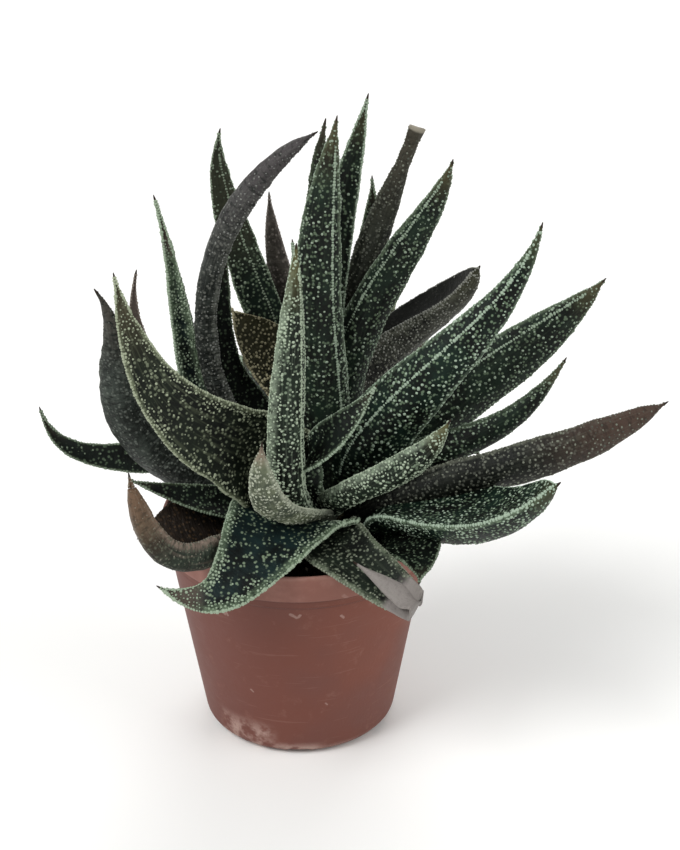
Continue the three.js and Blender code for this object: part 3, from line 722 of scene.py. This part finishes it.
def tubercle_tree():
    tree, given, identifiers = new_geometry_tree("tubercles", [
        ("Skin", "Geometry"), ("Dome", "Object"), ("Spacing", "Float"), ("Size", "Float"),
        ("Rim spacing", "Float"), ("Rim size", "Float"), ("Bead spacing", "Float"), ("Bead size", "Float"),
        ("Seed", "Int"), ("Bright", "Material"), ("Dull", "Material"), ("Dull share", "Float")])
    shape = shape_of(tree, given["Dome"])
    seed = given["Seed"]

    def scattered(spacing, size, cover, paleness):
        points = spread_points(tree, given["Skin"], given[spacing], TRIES, cover, seed)
        return domes_on(tree, points, points.also("Rotation"), shape, given[size] * named(tree, "wart_size"),
                        seed, paleness)

    body = scattered("Spacing", "Size", "cover", 0.0)
    rim = scattered("Rim spacing", "Rim size", "rim_cover", 0.12)

    outward = tree.node("GeometryNodeCaptureAttribute", None, {"Geometry": given["Skin"]})
    outward.socket.node.capture_items.new("VECTOR", "outward")
    tree.tree.links.new(tree.node("GeometryNodeInputNormal").socket, outward.socket.node.inputs["outward"])
    line = tree.node("GeometryNodeMeshToCurve", None, {
        "Mesh": outward, "Selection": named(tree, "on_margin", "BOOLEAN")})
    steps = tree.node("GeometryNodeResampleCurve", {"mode": "LENGTH"}, {
        "Curve": line, "Length": given["Bead spacing"]})
    turn = tree.node("FunctionNodeAlignRotationToVector", {"axis": "Z"}, {
        "Vector": outward.also("outward")})
    beads = domes_on(tree, steps, turn, shape, given["Bead size"], seed, 0.25)

    all_domes = tree.node("GeometryNodeJoinGeometry")
    for part in (beads, rim, body):
        tree.tree.links.new(part.socket, all_domes.socket.node.inputs[0])
    solid = tree.node("GeometryNodeRealizeInstances", None, {"Geometry": all_domes})
    bright = tree.node("GeometryNodeSetMaterial", None, {"Geometry": solid, "Material": given["Bright"]})
    is_dull = tree.node("FunctionNodeCompare", {"operation": "LESS_THAN"}, {
        0: named(tree, "tone"), 1: given["Dull share"]})
    dull = tree.node("GeometryNodeSetMaterial", None, {
        "Geometry": bright, "Selection": is_dull, "Material": given["Dull"]})
    tree.node("NodeGroupOutput", None, {0: dull})
    return tree.tree, identifiers


TUBERCLES, TUBERCLE_INPUTS = tubercle_tree()
print("tubercle tree:", len(TUBERCLES.nodes), "nodes, inputs", list(TUBERCLE_INPUTS))

# %% Running a tree on a piece
def grown_piece(name, carrier, group, identifiers, values):
    """A new plain mesh object: what a Geometry Nodes tree makes from the carrier's mesh."""
    grower = bpy.data.objects.new(name + "_grower", carrier.data)
    bpy.context.collection.objects.link(grower)
    modifier = grower.modifiers.new("grow", "NODES")
    modifier.node_group = group
    for label, value in values.items():
        modifier[identifiers[label]] = value
    evaluated = grower.evaluated_get(bpy.context.evaluated_depsgraph_get())
    mesh = bpy.data.meshes.new_from_object(evaluated)
    grower.modifiers.clear()
    bpy.data.objects.remove(grower)
    mesh.name = name
    mesh.shade_smooth()
    piece = bpy.data.objects.new(name, mesh)
    bpy.context.collection.objects.link(piece)
    return piece


# %% How each kind of leaf wears its tubercles
Warts = namedtuple("Warts", "bright dull dull_share spacing size rim_spacing rim_size bead_spacing bead_size"
                            " inner rim_mm")

WARTS = {look: Warts(*row) for look, row in {
    "green": ("8c9c88", "586757", 0.62, 1.65, 0.6, 1.3, 0.55, 1.1, 0.66, 0.8, 2.0),
    "dotted": ("99ab97", "546654", 0.6, 1.65, 0.64, 1.5, 0.62, 1.15, 0.7, 0.8, 2.0),
    "dense": ("a3b19a", "6b7a66", 0.5, 1.35, 0.64, 1.1, 0.6, 1.05, 0.7, 0.85, 4.0),
    "pale": ("aab09c", "858b77", 0.6, 1.3, 0.56, 1.2, 0.5, 1.05, 0.56, 0.85, 2.5),
    "teal": ("93a38c", "56654f", 0.5, 2.4, 0.5, 1.1, 0.62, 1.05, 0.76, 0.2, 5.2),
    "dark": ("6f7d69", "414c3a", 0.6, 1.75, 0.5, 1.5, 0.5, 1.15, 0.6, 0.7, 1.6),
    "bright": ("8f9f8a", "4c5a47", 0.5, 1.9, 0.55, 1.3, 0.55, 1.05, 0.66, 0.7, 2.4),
    "olive": ("87917a", "566048", 0.6, 1.7, 0.6, 1.4, 0.54, 1.15, 0.62, 0.8, 1.8),
    "tipped": ("7f8d78", "4c5a47", 0.62, 1.8, 0.62, 1.3, 0.52, 1.15, 0.6, 0.8, 1.8),
    "mound": ("a09a7c", "676348", 0.5, 1.2, 0.72, 1.15, 0.66, 1.1, 0.7, 1.0, 1.8),
    "streaked": ("98a087", "545c48", 0.62, 1.7, 0.55, 1.15, 0.56, 1.05, 0.7, 0.6, 3.6),
    "rusty": ("737769", "474c42", 0.6, 1.6, 0.5, 1.3, 0.45, 1.2, 0.55, 0.8, 1.4),
    "ageing": ("737769", "4b5046", 0.65, 1.45, 0.45, 1.3, 0.45, 1.2, 0.55, 0.9, 1.4),
    "hooded": ("92938a", "626459", 0.55, 1.25, 0.55, 1.15, 0.5, 1.1, 0.6, 0.0, 1.6),
    "grey": ("7b7d78", "50534f", 0.65, 1.4, 0.42, 1.2, 0.42, 1.2, 0.52, 0.8, 1.4),
    "faded": ("827a73", "5c554f", 0.65, 1.8, 0.42, 1.4, 0.4, 1.3, 0.5, 0.7, 1.4),
    "folded": ("7d8372", "50574a", 0.65, 2.2, 0.45, 1.2, 0.45, 1.25, 0.55, 0.5, 3.0),
    "brown": ("7f7b6d", "4c4d41", 0.65, 1.9, 0.36, 1.6, 0.36, 1.3, 0.42, 0.3, 1.2),
    # painted shade: leaf 46's tubercles darkened to match its shaded hollow
    "shade": ("4f4335", "30281f", 0.65, 2.6, 0.4, 2.0, 0.4, 1.8, 0.4, 0.6, 1.0),
    "red": ("7b7268", "554d45", 0.65, 1.8, 0.45, 1.5, 0.42, 1.3, 0.5, 0.7, 1.2),
    "ribbed": ("62675f", "3f453f", 0.7, 2.2, 0.38, 1.6, 0.38, 1.3, 0.46, 0.5, 1.2),
}.items()}


def wart_finish(name, code):
    finish = Finish(name, specular=0.35)
    finish.give("Base Color", paint(code))
    grain = finish.noise(finish.place(), 2400, 2.0)
    finish.give("Roughness", 0.45 + grain * 0.25)
    finish.give("Normal", finish.bump(grain, 0.00008, 0.6))
    return finish.material


wart_finishes = {}
for look, warts in WARTS.items():
    wart_finishes[look] = (wart_finish("tubercle_bright_" + look, warts.bright),
                           wart_finish("tubercle_dull_" + look, warts.dull))
print(len(wart_finishes), "pairs of tubercle finishes")

# %% Making every leaf
# leaves with a third row of beads, on a keel: where it runs, -1 to 1 across, and on which face
KEELS = {1: (-0.62, 0), 2: (-0.45, 0), 8: (0.5, 0), 15: (0.55, 0), 16: (0.6, 0), 28: (0.5, 1)}
# leaf 46 wears the near-black look of painted shade; 17's hooded look darkens its upper face as painted shade
LOOKS = {2: "dense", 3: "pale", 4: "dense", 5: "dotted", 7: "streaked", 8: "dotted", 9: "bright",
         10: "folded", 13: "rusty", 17: "hooded", 18: "ageing", 22: "ribbed", 28: "tipped", 29: "mound",
         30: "faded", 46: "shade"}
BARE_FROM = {10: 0.66}             # where a dry, folded tip has no tubercles, as a share of the length
ROW_STEP = 3.1                     # mm between the loose rows across the leaf
FIRST_WARTS, LAST_WARTS = 0.06, 0.995     # shares of the length
FIRST_KEEL, LAST_KEEL = 0.12, 0.93
PATCH_MM = 9                       # how far apart the denser and barer places lie
leaf_pieces = []


def add_attribute(mesh, name, values, kind="FLOAT"):
    attribute = mesh.attributes.new(name, kind, "POINT")
    attribute.data.foreach_set("value", np.asarray(values, dtype=bool if kind == "BOOLEAN" else float))


def is_warty(leaf, share):
    return share < BARE_FROM.get(leaf.number, 2.0)


def on_keel(numbers, keel, face):
    """The points of the line along a face that lies nearest to a share of the width."""
    column = np.arange(RING)
    spread = np.concatenate([FACE_SPREAD, np.full(MARGIN_POINTS, 9), FACE_SPREAD[::-1],
                             np.full(MARGIN_POINTS, 9)])
    best = min(column[UPPER_SHARE == face], key=lambda c: abs(spread[c] - keel))
    on_line = np.arange(len(numbers["share"])) % RING == best
    return on_line & (numbers["share"] > FIRST_KEEL) & (numbers["share"] < LAST_KEEL)


def cover_of(leaf, numbers, warts):
    """How thickly the tubercles stand: all over, and in the band along the margins."""
    share, upper, rim = numbers["share"], numbers["upper"], numbers["rim_mm"]
    ends = np.clip((share - FIRST_WARTS) / 0.1, 0, 1) * np.clip((LAST_WARTS - share) / 0.03, 0, 1)
    ends = ends * is_warty(leaf, share)
    turn = numbers["across"] * 0.15 + np.where(upper > 0.5, 0.25, 0.75)
    patches = drift(leaf.number + 400, 7, turn % 1, numbers["along_mm"], PATCH_MM)
    side = np.where(upper > 0.5, warts.inner, 1.0)
    swing = 2 * math.pi * numbers["along_mm"] / ROW_STEP + 2 * patches
    cover = ends * side * np.clip(0.9 + 0.5 * patches, 0, 1) * np.clip(0.75 + 0.6 * np.cos(swing), 0, 1)
    rim_cover = ends * np.clip((warts.rim_mm - rim) / 0.8, 0, 1) * np.clip(0.8 + 0.4 * patches, 0, 1)
    size = np.clip(1.0 + 0.25 * patches, 0.7, 1.25) * (1 - 0.25 * np.clip(share, 0, 1))
    return cover, rim_cover, size


for leaf in LEAVES:
    look = LOOKS.get(leaf.number, leaf.slot)
    warts = WARTS[look]
    name = f"leaf_{leaf.number:02d}"
    points, faces, numbers, on_margin = leaf_skin(leaf, SKINS[look].wrinkles)
    skin = mesh_piece(name + "_skin", points, faces)
    covers = dict(zip(("cover", "rim_cover", "wart_size"), cover_of(leaf, numbers, warts)))
    for label, values in {**numbers, **covers}.items():
        add_attribute(skin.data, label, values)
    if leaf.number in KEELS:
        on_margin |= on_keel(numbers, *KEELS[leaf.number])
    on_margin &= is_warty(leaf, numbers["share"])
    add_attribute(skin.data, "on_margin", on_margin, "BOOLEAN")
    skin.data.materials.append(skins[look])
    bright, dull = wart_finishes[look]
    tubercles = grown_piece(name + "_tubercles", skin, TUBERCLES, TUBERCLE_INPUTS, {
        "Dome": dome_piece, "Seed": leaf.number,
        "Spacing": warts.spacing * MM, "Size": warts.size * MM,
        "Rim spacing": warts.rim_spacing * MM, "Rim size": warts.rim_size * MM,
        "Bead spacing": warts.bead_spacing * MM, "Bead size": warts.bead_size * MM,
        "Bright": bright, "Dull": dull, "Dull share": warts.dull_share})
    for piece in (skin, tubercles):
        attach(piece, "root")
        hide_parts(name)
    leaf_pieces += [skin, tubercles]

bpy.data.objects.remove(dome_piece)
triangles = [triangle_count(piece) for piece in leaf_pieces]
print("leaf triangles:", sum(triangles), "most:", max(triangles))

# %% [markdown]
# ## The pot
#
# The pot is a thin, moulded nursery pot: a plain cone with a rounded foot, a band under the rim that
# stands out a little, and drain holes and notches in the foot. Its section is turned about the axis, with
# 160 sides, so that the outline stays round. A Spin or Screw modifier would do the same. Here the
# outline's points are turned in Python, because the poles are then closed by construction. The holes and
# notches are cut by a Boolean with cutters made for it.

# %% Turning an outline
def turned(name, outline, sides):
    """A closed mesh: an outline of (radius, height), from pole to pole, turned about the Z axis."""
    rings = [(r, h) for r, h in outline if r > 1e-9]
    points = []
    for radius, height in rings:
        for i in range(sides):
            angle = 2 * math.pi * i / sides
            points.append((radius * math.cos(angle), radius * math.sin(angle), height))
    points += [(0, 0, outline[0][1]), (0, 0, outline[-1][1])]
    return mesh_piece(name, points, tube_faces(len(rings), sides))


def arc(centre, radius, start, end, steps):
    """Points on an arc of an outline, at angles in degrees."""
    angles = [math.radians(start + (end - start) * i / steps) for i in range(steps + 1)]
    return [(centre[0] + radius * math.cos(a), centre[1] + radius * math.sin(a)) for a in angles]


def runs_between(outline, step):
    """The same outline, with points no further apart than a step, so that relief has room."""
    dense = [outline[0]]
    for (r0, h0), (r1, h1) in zip(outline, outline[1:]):
        count = max(1, int(math.hypot(r1 - r0, h1 - h0) / step))
        dense += [(r0 + (r1 - r0) * i / count, h0 + (h1 - h0) * i / count) for i in range(1, count + 1)]
    return dense


# %% Pot sizes and shape
POT_HEIGHT = 88 * MM
POT_RIM_RADIUS = 52.5 * MM
POT_BASE_RADIUS = 38 * MM
POT_EDGE_ROUND = 6 * MM
POT_WALL = 1.5 * MM
POT_FLOOR = 2 * MM
POT_BAND_HEIGHT = 11 * MM
POT_BAND_STEP = 1.2 * MM
POT_SIDES = 160
LOWER_LINE = 73.6 * MM             # a second, faint step under the band
LOWER_STEP = 0.35 * MM
BAND_FOOT = POT_HEIGHT - POT_BAND_HEIGHT
INNER_FOOT = POT_EDGE_ROUND + POT_FLOOR
SIDE_TOP = POT_RIM_RADIUS - POT_BAND_STEP - 1 * MM


def side_radius(height):
    """The pot's outer radius under the band."""
    share = (height - POT_EDGE_ROUND) / (BAND_FOOT - POT_EDGE_ROUND)
    return POT_BASE_RADIUS + (SIDE_TOP - POT_BASE_RADIUS) * share


def pot_outline():
    inner_radius = side_radius(INNER_FOOT) - POT_WALL
    rim = POT_RIM_RADIUS
    return [
        (0, 0.6 * MM), (24 * MM, 0.6 * MM), (27 * MM, 0),
        *arc((POT_BASE_RADIUS - POT_EDGE_ROUND, POT_EDGE_ROUND), POT_EDGE_ROUND, -90, -11, 9),
        (side_radius(LOWER_LINE - 0.3 * MM), LOWER_LINE - 0.3 * MM),
        (side_radius(LOWER_LINE) + LOWER_STEP, LOWER_LINE),
        (side_radius(BAND_FOOT) - 0.1 * MM, BAND_FOOT - 0.5 * MM),
        (side_radius(BAND_FOOT) + 0.1 * MM, BAND_FOOT),
        *arc((rim - 1.4 * MM, BAND_FOOT + 0.6 * MM), 0.6 * MM, -90, -5, 4),
        (rim, POT_HEIGHT - 0.9 * MM),
        *arc((rim - 0.75 * MM, POT_HEIGHT - 0.75 * MM), 0.75 * MM, 0, 180, 8),
        (SIDE_TOP - POT_WALL, BAND_FOOT - 1 * MM),
        *arc((inner_radius - POT_EDGE_ROUND, INNER_FOOT), POT_EDGE_ROUND, 0, -90, 8),
        (0, POT_FLOOR),
    ]


pot = turned("pot_shell", runs_between(pot_outline(), 3 * MM), POT_SIDES)
print("pot:", len(pot.data.vertices), "points before the holes are cut")

# %% Drain holes and notches
DRAIN_HOLES = 4
DRAIN_HOLE_RADIUS = 3.5 * MM
DRAIN_HOLE_CIRCLE = 22 * MM
NOTCHES = 6
NOTCH_WIDTH = 9 * MM
NOTCH_HEIGHT = 2.4 * MM
NOTCH_INNER_RADIUS = 30 * MM


def hole_cutter(angle):
    cutter = turned("hole_cutter", [(0, -0.01), (DRAIN_HOLE_RADIUS, -0.01), (DRAIN_HOLE_RADIUS, 0.01),
                                    (0, 0.01)], 32)
    x, y = DRAIN_HOLE_CIRCLE * math.cos(angle), DRAIN_HOLE_CIRCLE * math.sin(angle)
    for vertex in cutter.data.vertices:
        vertex.co += Vector((x, y, 0))
    return cutter


def notch_cutter(angle):
    """A low tunnel with rounded upper corners, from inside the foot outwards."""
    half, top, corner = NOTCH_WIDTH / 2, NOTCH_HEIGHT, 1.2 * MM
    outline = [(-half, -0.01), (half, -0.01), *arc((half - corner, top - corner), corner, 0, 90, 5),
               *arc((corner - half, top - corner), corner, 90, 180, 5)]
    points = []
    for reach in (NOTCH_INNER_RADIUS, POT_RIM_RADIUS):
        for across, up in outline:
            points.append((reach * math.cos(angle) - across * math.sin(angle),
                           reach * math.sin(angle) + across * math.cos(angle), up))
    count = len(outline)
    faces = [(i, (i + 1) % count, count + (i + 1) % count, count + i) for i in range(count)]
    faces += [tuple(reversed(range(count))), tuple(range(count, 2 * count))]
    return mesh_piece("notch_cutter", points, faces)


def cut(piece, cutters):
    """Cuts the cutters out of a piece and removes them. The mesh stays plain."""
    for cutter in cutters:
        modifier = piece.modifiers.new("cut", "BOOLEAN")
        modifier.operation = "DIFFERENCE"
        modifier.solver = "EXACT"
        modifier.object = cutter
    evaluated = piece.evaluated_get(bpy.context.evaluated_depsgraph_get())
    mesh = bpy.data.meshes.new_from_object(evaluated)
    piece.modifiers.clear()
    piece.data = mesh
    for cutter in cutters:
        bpy.data.objects.remove(cutter)


cut(pot, [hole_cutter((i + 0.5) * 2 * math.pi / DRAIN_HOLES) for i in range(DRAIN_HOLES)]
    + [notch_cutter((i + 0.5) * 2 * math.pi / NOTCHES) for i in range(NOTCHES)])
pot.data.set_sharp_from_angle(angle=math.radians(35))
print("pot:", len(pot.data.polygons), "faces after the cuts")

# %% [markdown]
# ## The pot's finish
#
# The plastic is a dull terracotta brown. Its right side is painted warmer and lighter as painted light, so
# that the left looks greyer. It has the wear of a pot that has been handled and set down: pale scuffs round
# the foot, a few short scratches on the band and under it, and fine dust. The band and the rim's top are
# paler, partly from rubbed wear and partly as a painted highlight, and thin dark lines under the band and
# under the faint step below it are painted shade. The scratches are drawn as short lines on the unrolled
# side, in millimetres to the right of the front and above the floor.

# %% Pot finish
UNROLLED_RADIUS = 47.0             # mm, about the middle of the side
SCRATCHES = [                      # start and end, right of the front and up, and the width, in mm
    ((-29.5, 68.0), (-27.6, 65.5), 1.0),
    ((-27.2, 67.0), (-26.2, 65.3), 0.8),
    ((16.2, 78.6), (17.6, 77.0), 1.0),
    ((-2.0, 70.6), (0.0, 69.2), 0.9),
    ((0.6, 69.4), (1.4, 70.4), 0.7),
    ((16.3, 68.3), (17.2, 67.0), 0.7),
    ((-20.4, 31.0), (-19.4, 30.2), 0.5),
    ((12.0, 26.0), (12.9, 25.4), 0.5),
]


def scratch(right, up, start, end, width):
    """1 on a short line from start to end, 0 away from it."""
    (x0, y0), (x1, y1) = start, end
    length2 = (x1 - x0) ** 2 + (y1 - y0) ** 2
    dx, dy = right - x0, up - y0
    along = (dx * ((x1 - x0) / length2) + dy * ((y1 - y0) / length2)).between(0, 1, "LINEAR")
    off_x, off_y = dx - along * (x1 - x0), dy - along * (y1 - y0)
    return (off_x * off_x + off_y * off_y).between((width * 0.9) ** 2, (width * 0.3) ** 2)


def pot_finish():
    finish = Finish("pot_plastic", specular=0.35)
    place = finish.place()
    x, y, z = finish.split(place)
    up = z / MM
    right = x.math("ARCTAN2", x, 0 - y) * UNROLLED_RADIUS
    slow = finish.noise(place, 22, 3.0)
    fine = finish.noise(place, 900, 2.0)
    dust = finish.noise(place, 160, 4.0, 0.7)
    lines = finish.noise(finish.stretch(place, (60, 60, 900)), 1.0, 2.0).between(0.64, 0.72)
    rubbed = finish.noise(place, 75, 4.0, 0.65)
    left_foot = up.between(17, 9) * right.between(-46, -38) * right.between(-8, -18)
    front_foot = up.between(7, 3) * right.between(-14, -8) * right.between(14, 6)
    foot = (up.between(5, 2) * 0.5 + left_foot + front_foot) * rubbed.between(0.4, 0.54)
    # the rim's top is paler, partly rubbed wear and partly painted highlight
    rim_wear_and_highlight = up.between(86.2, 87.8) * rubbed.between(0.4, 0.6)
    wear_and_rim_highlight = foot.math("MAXIMUM", foot, rim_wear_and_highlight * 0.7)
    for start, end, width in SCRATCHES:
        worn = scratch(right + (fine - 0.5) * 1.2, up + (dust - 0.5) * 1.6, start, end, width)
        wear_and_rim_highlight = wear_and_rim_highlight.math("MAXIMUM", wear_and_rim_highlight, worn * 0.65)
    # the band is paler, partly rubbed wear and partly painted highlight
    band = up.between(76.9, 77.4)
    # painted shade: thin dark lines under the band and under the faint step below it
    shaded = up.between(75.4, 76.6) * (1 - band) + up.between(72.6, 73.3) * up.between(74.0, 73.7)
    finish.give("Base Color", finish.layered(
        "663a31",
        # painted light: the right side warmer and lighter
        ("743f2f", x.between(-0.05, 0.05)),
        ("643e37", slow.between(0.42, 0.7) * 0.6),
        ("8d6558", dust.between(0.56, 0.8) * 0.4),
        ("a98d83", wear_and_rim_highlight * (0.55 + fine * 0.5)),
        ("8b6457", lines * 0.25),
        ("8f6459", band * (0.5 + rubbed.between(0.45, 0.7) * 0.35)),
        ("4d2f29", shaded * 0.4)))
    finish.give("Roughness", 0.5 + dust * 0.2 + wear_and_rim_highlight * 0.2)
    low = finish.bump(slow, 0.0012, 0.5)
    finish.give("Normal", finish.bump(fine + wear_and_rim_highlight * 1.5, 0.00009, 0.7, low))
    return finish.material


pot.data.materials.append(pot_finish())
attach(pot, "root")
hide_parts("pot")

# %% [markdown]
# ## The soil
#
# The soil is a dark peat mix with some grit. Its body fills the pot, because it shows through the drain
# holes too, and its top is uneven and rises a little to the stem. Loose crumbs are scattered on the top
# by Geometry Nodes, from three crumb shapes of 20 faces each.

# %% Soil body
SOIL_TOP = 78 * MM
SOIL_MOUND = 3 * MM
SOIL_EDGE = SOIL_TOP - 1.9 * MM    # what lies above it is the soil's top
CLEARANCE = 0.35 * MM


def soil_outline():
    floor_level = POT_FLOOR + CLEARANCE
    inner_radius = side_radius(INNER_FOOT) - POT_WALL - CLEARANCE
    top_radius = side_radius(SOIL_TOP - 4 * MM) - POT_WALL - CLEARANCE - 0.2 * MM
    top = [(top_radius * (1 - i / 30), SOIL_TOP - 1.2 * MM + SOIL_MOUND * math.sin(math.pi / 2 * i / 30))
           for i in range(1, 31)]
    return [(0, floor_level),
            *arc((inner_radius - POT_EDGE_ROUND, floor_level + POT_EDGE_ROUND), POT_EDGE_ROUND, -90, 0, 6),
            (top_radius, SOIL_TOP - 2 * MM), *top]


soil = turned("soil_body", soil_outline(), 120)
for vertex in soil.data.vertices:
    if vertex.co.z > SOIL_EDGE:
        x, y = vertex.co.x / MM, vertex.co.y / MM
        bumps = drift(900, 50, (x + 60) / 120, y + 60, 5) + 0.6 * drift(901, 60, (x + 60) / 120, y + 60, 2)
        vertex.co.z += 0.6 * MM * float(bumps)
add_attribute(soil.data, "cover", [float(v.co.z > SOIL_EDGE) for v in soil.data.vertices])
print("soil:", len(soil.data.polygons), "faces")

# %% Crumbs
CRUMB_SEED = 41


def crumb(name, seed):
    """An uneven lump of 20 faces and radius about 1."""
    bpy.ops.mesh.primitive_ico_sphere_add(subdivisions=1, radius=1)
    lump = bpy.context.object
    lump.name = name
    uneven = np.random.default_rng(seed)
    for vertex in lump.data.vertices:
        vertex.co *= float(uneven.uniform(0.7, 1.2))
        vertex.co.z *= 0.75
    return lump


def crumb_tree():
    tree, given, identifiers = new_geometry_tree("crumbs", [
        ("Ground", "Geometry"), ("Crumb", "Object"), ("Spacing", "Float"), ("Size", "Float"), ("Seed", "Int"),
        ("Finish", "Material")])
    seed = given["Seed"]
    points = spread_points(tree, given["Ground"], given["Spacing"], 1.0, "cover", seed)
    turn = random_vector(tree, (0.0, 0.0, 0.0), (6.28, 6.28, 6.28), seed)
    crumbs = tree.node("GeometryNodeInstanceOnPoints", None, {
        "Points": points, "Instance": shape_of(tree, given["Crumb"]), "Rotation": turn,
        "Scale": random_number(tree, 0.5, 1.4, seed) * given["Size"]})
    solid = tree.node("GeometryNodeRealizeInstances", None, {"Geometry": crumbs})
    finished = tree.node("GeometryNodeSetMaterial", None, {"Geometry": solid, "Material": given["Finish"]})
    tree.node("NodeGroupOutput", None, {0: finished})
    return tree.tree, identifiers


def grainy(name, dark, light, scale, detail=5.0, gloss=0.15, dullness=(0.8, 0.18), relief=0.0008):
    """A dull finish between two colours, with a grain that also roughens it."""
    finish = Finish(name, specular=gloss)
    grain = finish.noise(finish.place(), scale, detail, 0.7)
    finish.give("Base Color", finish.layered(dark, (light, grain.between(0.35, 0.7))))
    finish.give("Roughness", dullness[0] + grain * dullness[1])
    finish.give("Normal", finish.bump(grain, relief, 1.0))
    return finish.material


CRUMBS, CRUMB_INPUTS = crumb_tree()
soil.data.materials.append(grainy("soil_peat", "0f0b08", "33261c", 420))
soil_pieces = [soil]
for name, spacing, size, dark, light in (
        ("soil_crumbs_dark", 1.5, 0.85, "130d09", "3a2b20"),
        ("soil_crumbs_brown", 3.4, 0.95, "33241a", "6a4e3a"),
        ("soil_grit", 7.0, 0.7, "8a8375", "c4bdae")):
    lump = crumb(name + "_lump", CRUMB_SEED + len(soil_pieces))
    soil_pieces.append(grown_piece(name, soil, CRUMBS, CRUMB_INPUTS, {
        "Crumb": lump, "Spacing": spacing * MM, "Size": size * MM, "Seed": CRUMB_SEED + len(soil_pieces),
        "Finish": grainy(name, dark, light, 900)}))
    bpy.data.objects.remove(lump)
for piece in soil_pieces:
    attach(piece, "root")
    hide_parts("soil")
print("crumbs:", [len(p.data.polygons) // 20 for p in soil_pieces[1:]])

# %% [markdown]
# ## The stem
#
# The stem hardly shows between the leaves: a short, corky trunk with the rings that old leaves leave
# behind. It is turned from an outline with those rings in it and then made a little uneven.

# %% Stem
STEM_AT = (12 * MM, -1 * MM)
STEM_BOTTOM = 64 * MM
STEM_TOP = 108 * MM
STEM_RADIUS = 9.5 * MM
SCAR_RINGS = 9
SCAR_DEPTH = 0.35 * MM
STEM_UNEVEN = 0.03


def stem_outline():
    steps = 72
    outline = [(0, STEM_BOTTOM)]
    for i in range(steps + 1):
        share = i / steps
        swell = min(1, 0.7 + 2 * share) * math.sqrt(max(0.0, 1 - max(0, (share - 0.7) / 0.3) ** 2))
        ring = SCAR_DEPTH * math.sin(2 * math.pi * SCAR_RINGS * share)
        outline.append((max(0.5 * MM, STEM_RADIUS * swell - SCAR_DEPTH + ring),
                        STEM_BOTTOM + (STEM_TOP - STEM_BOTTOM) * share))
    return outline + [(0, STEM_TOP)]


stem = turned("stem_trunk", stem_outline(), 40)
for vertex in stem.data.vertices:
    angle = math.atan2(vertex.co.y, vertex.co.x) / (2 * math.pi) % 1
    uneven = 1 - STEM_UNEVEN + STEM_UNEVEN * float(drift(950, 9, angle, vertex.co.z, 5 * MM))
    vertex.co.x = vertex.co.x * uneven + STEM_AT[0]
    vertex.co.y = vertex.co.y * uneven + STEM_AT[1]
stem.data.materials.append(grainy(
    "stem_cork", "2d2a1c", "6b6448", 380, detail=4.0, gloss=0.2, dullness=(0.7, 0.2), relief=0.0006))
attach(stem, "root")
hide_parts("stem")
print("stem:", len(stem.data.polygons), "faces")

# %% [markdown]
# ## Count and end
#
# At the end the pieces that render are counted, with their triangles.

# %% Count of pieces
pieces = [o for o in bpy.data.objects if o.type == "MESH" and not o.hide_render]
print("pieces:", len(pieces), "triangles:", sum(triangle_count(piece) for piece in pieces))
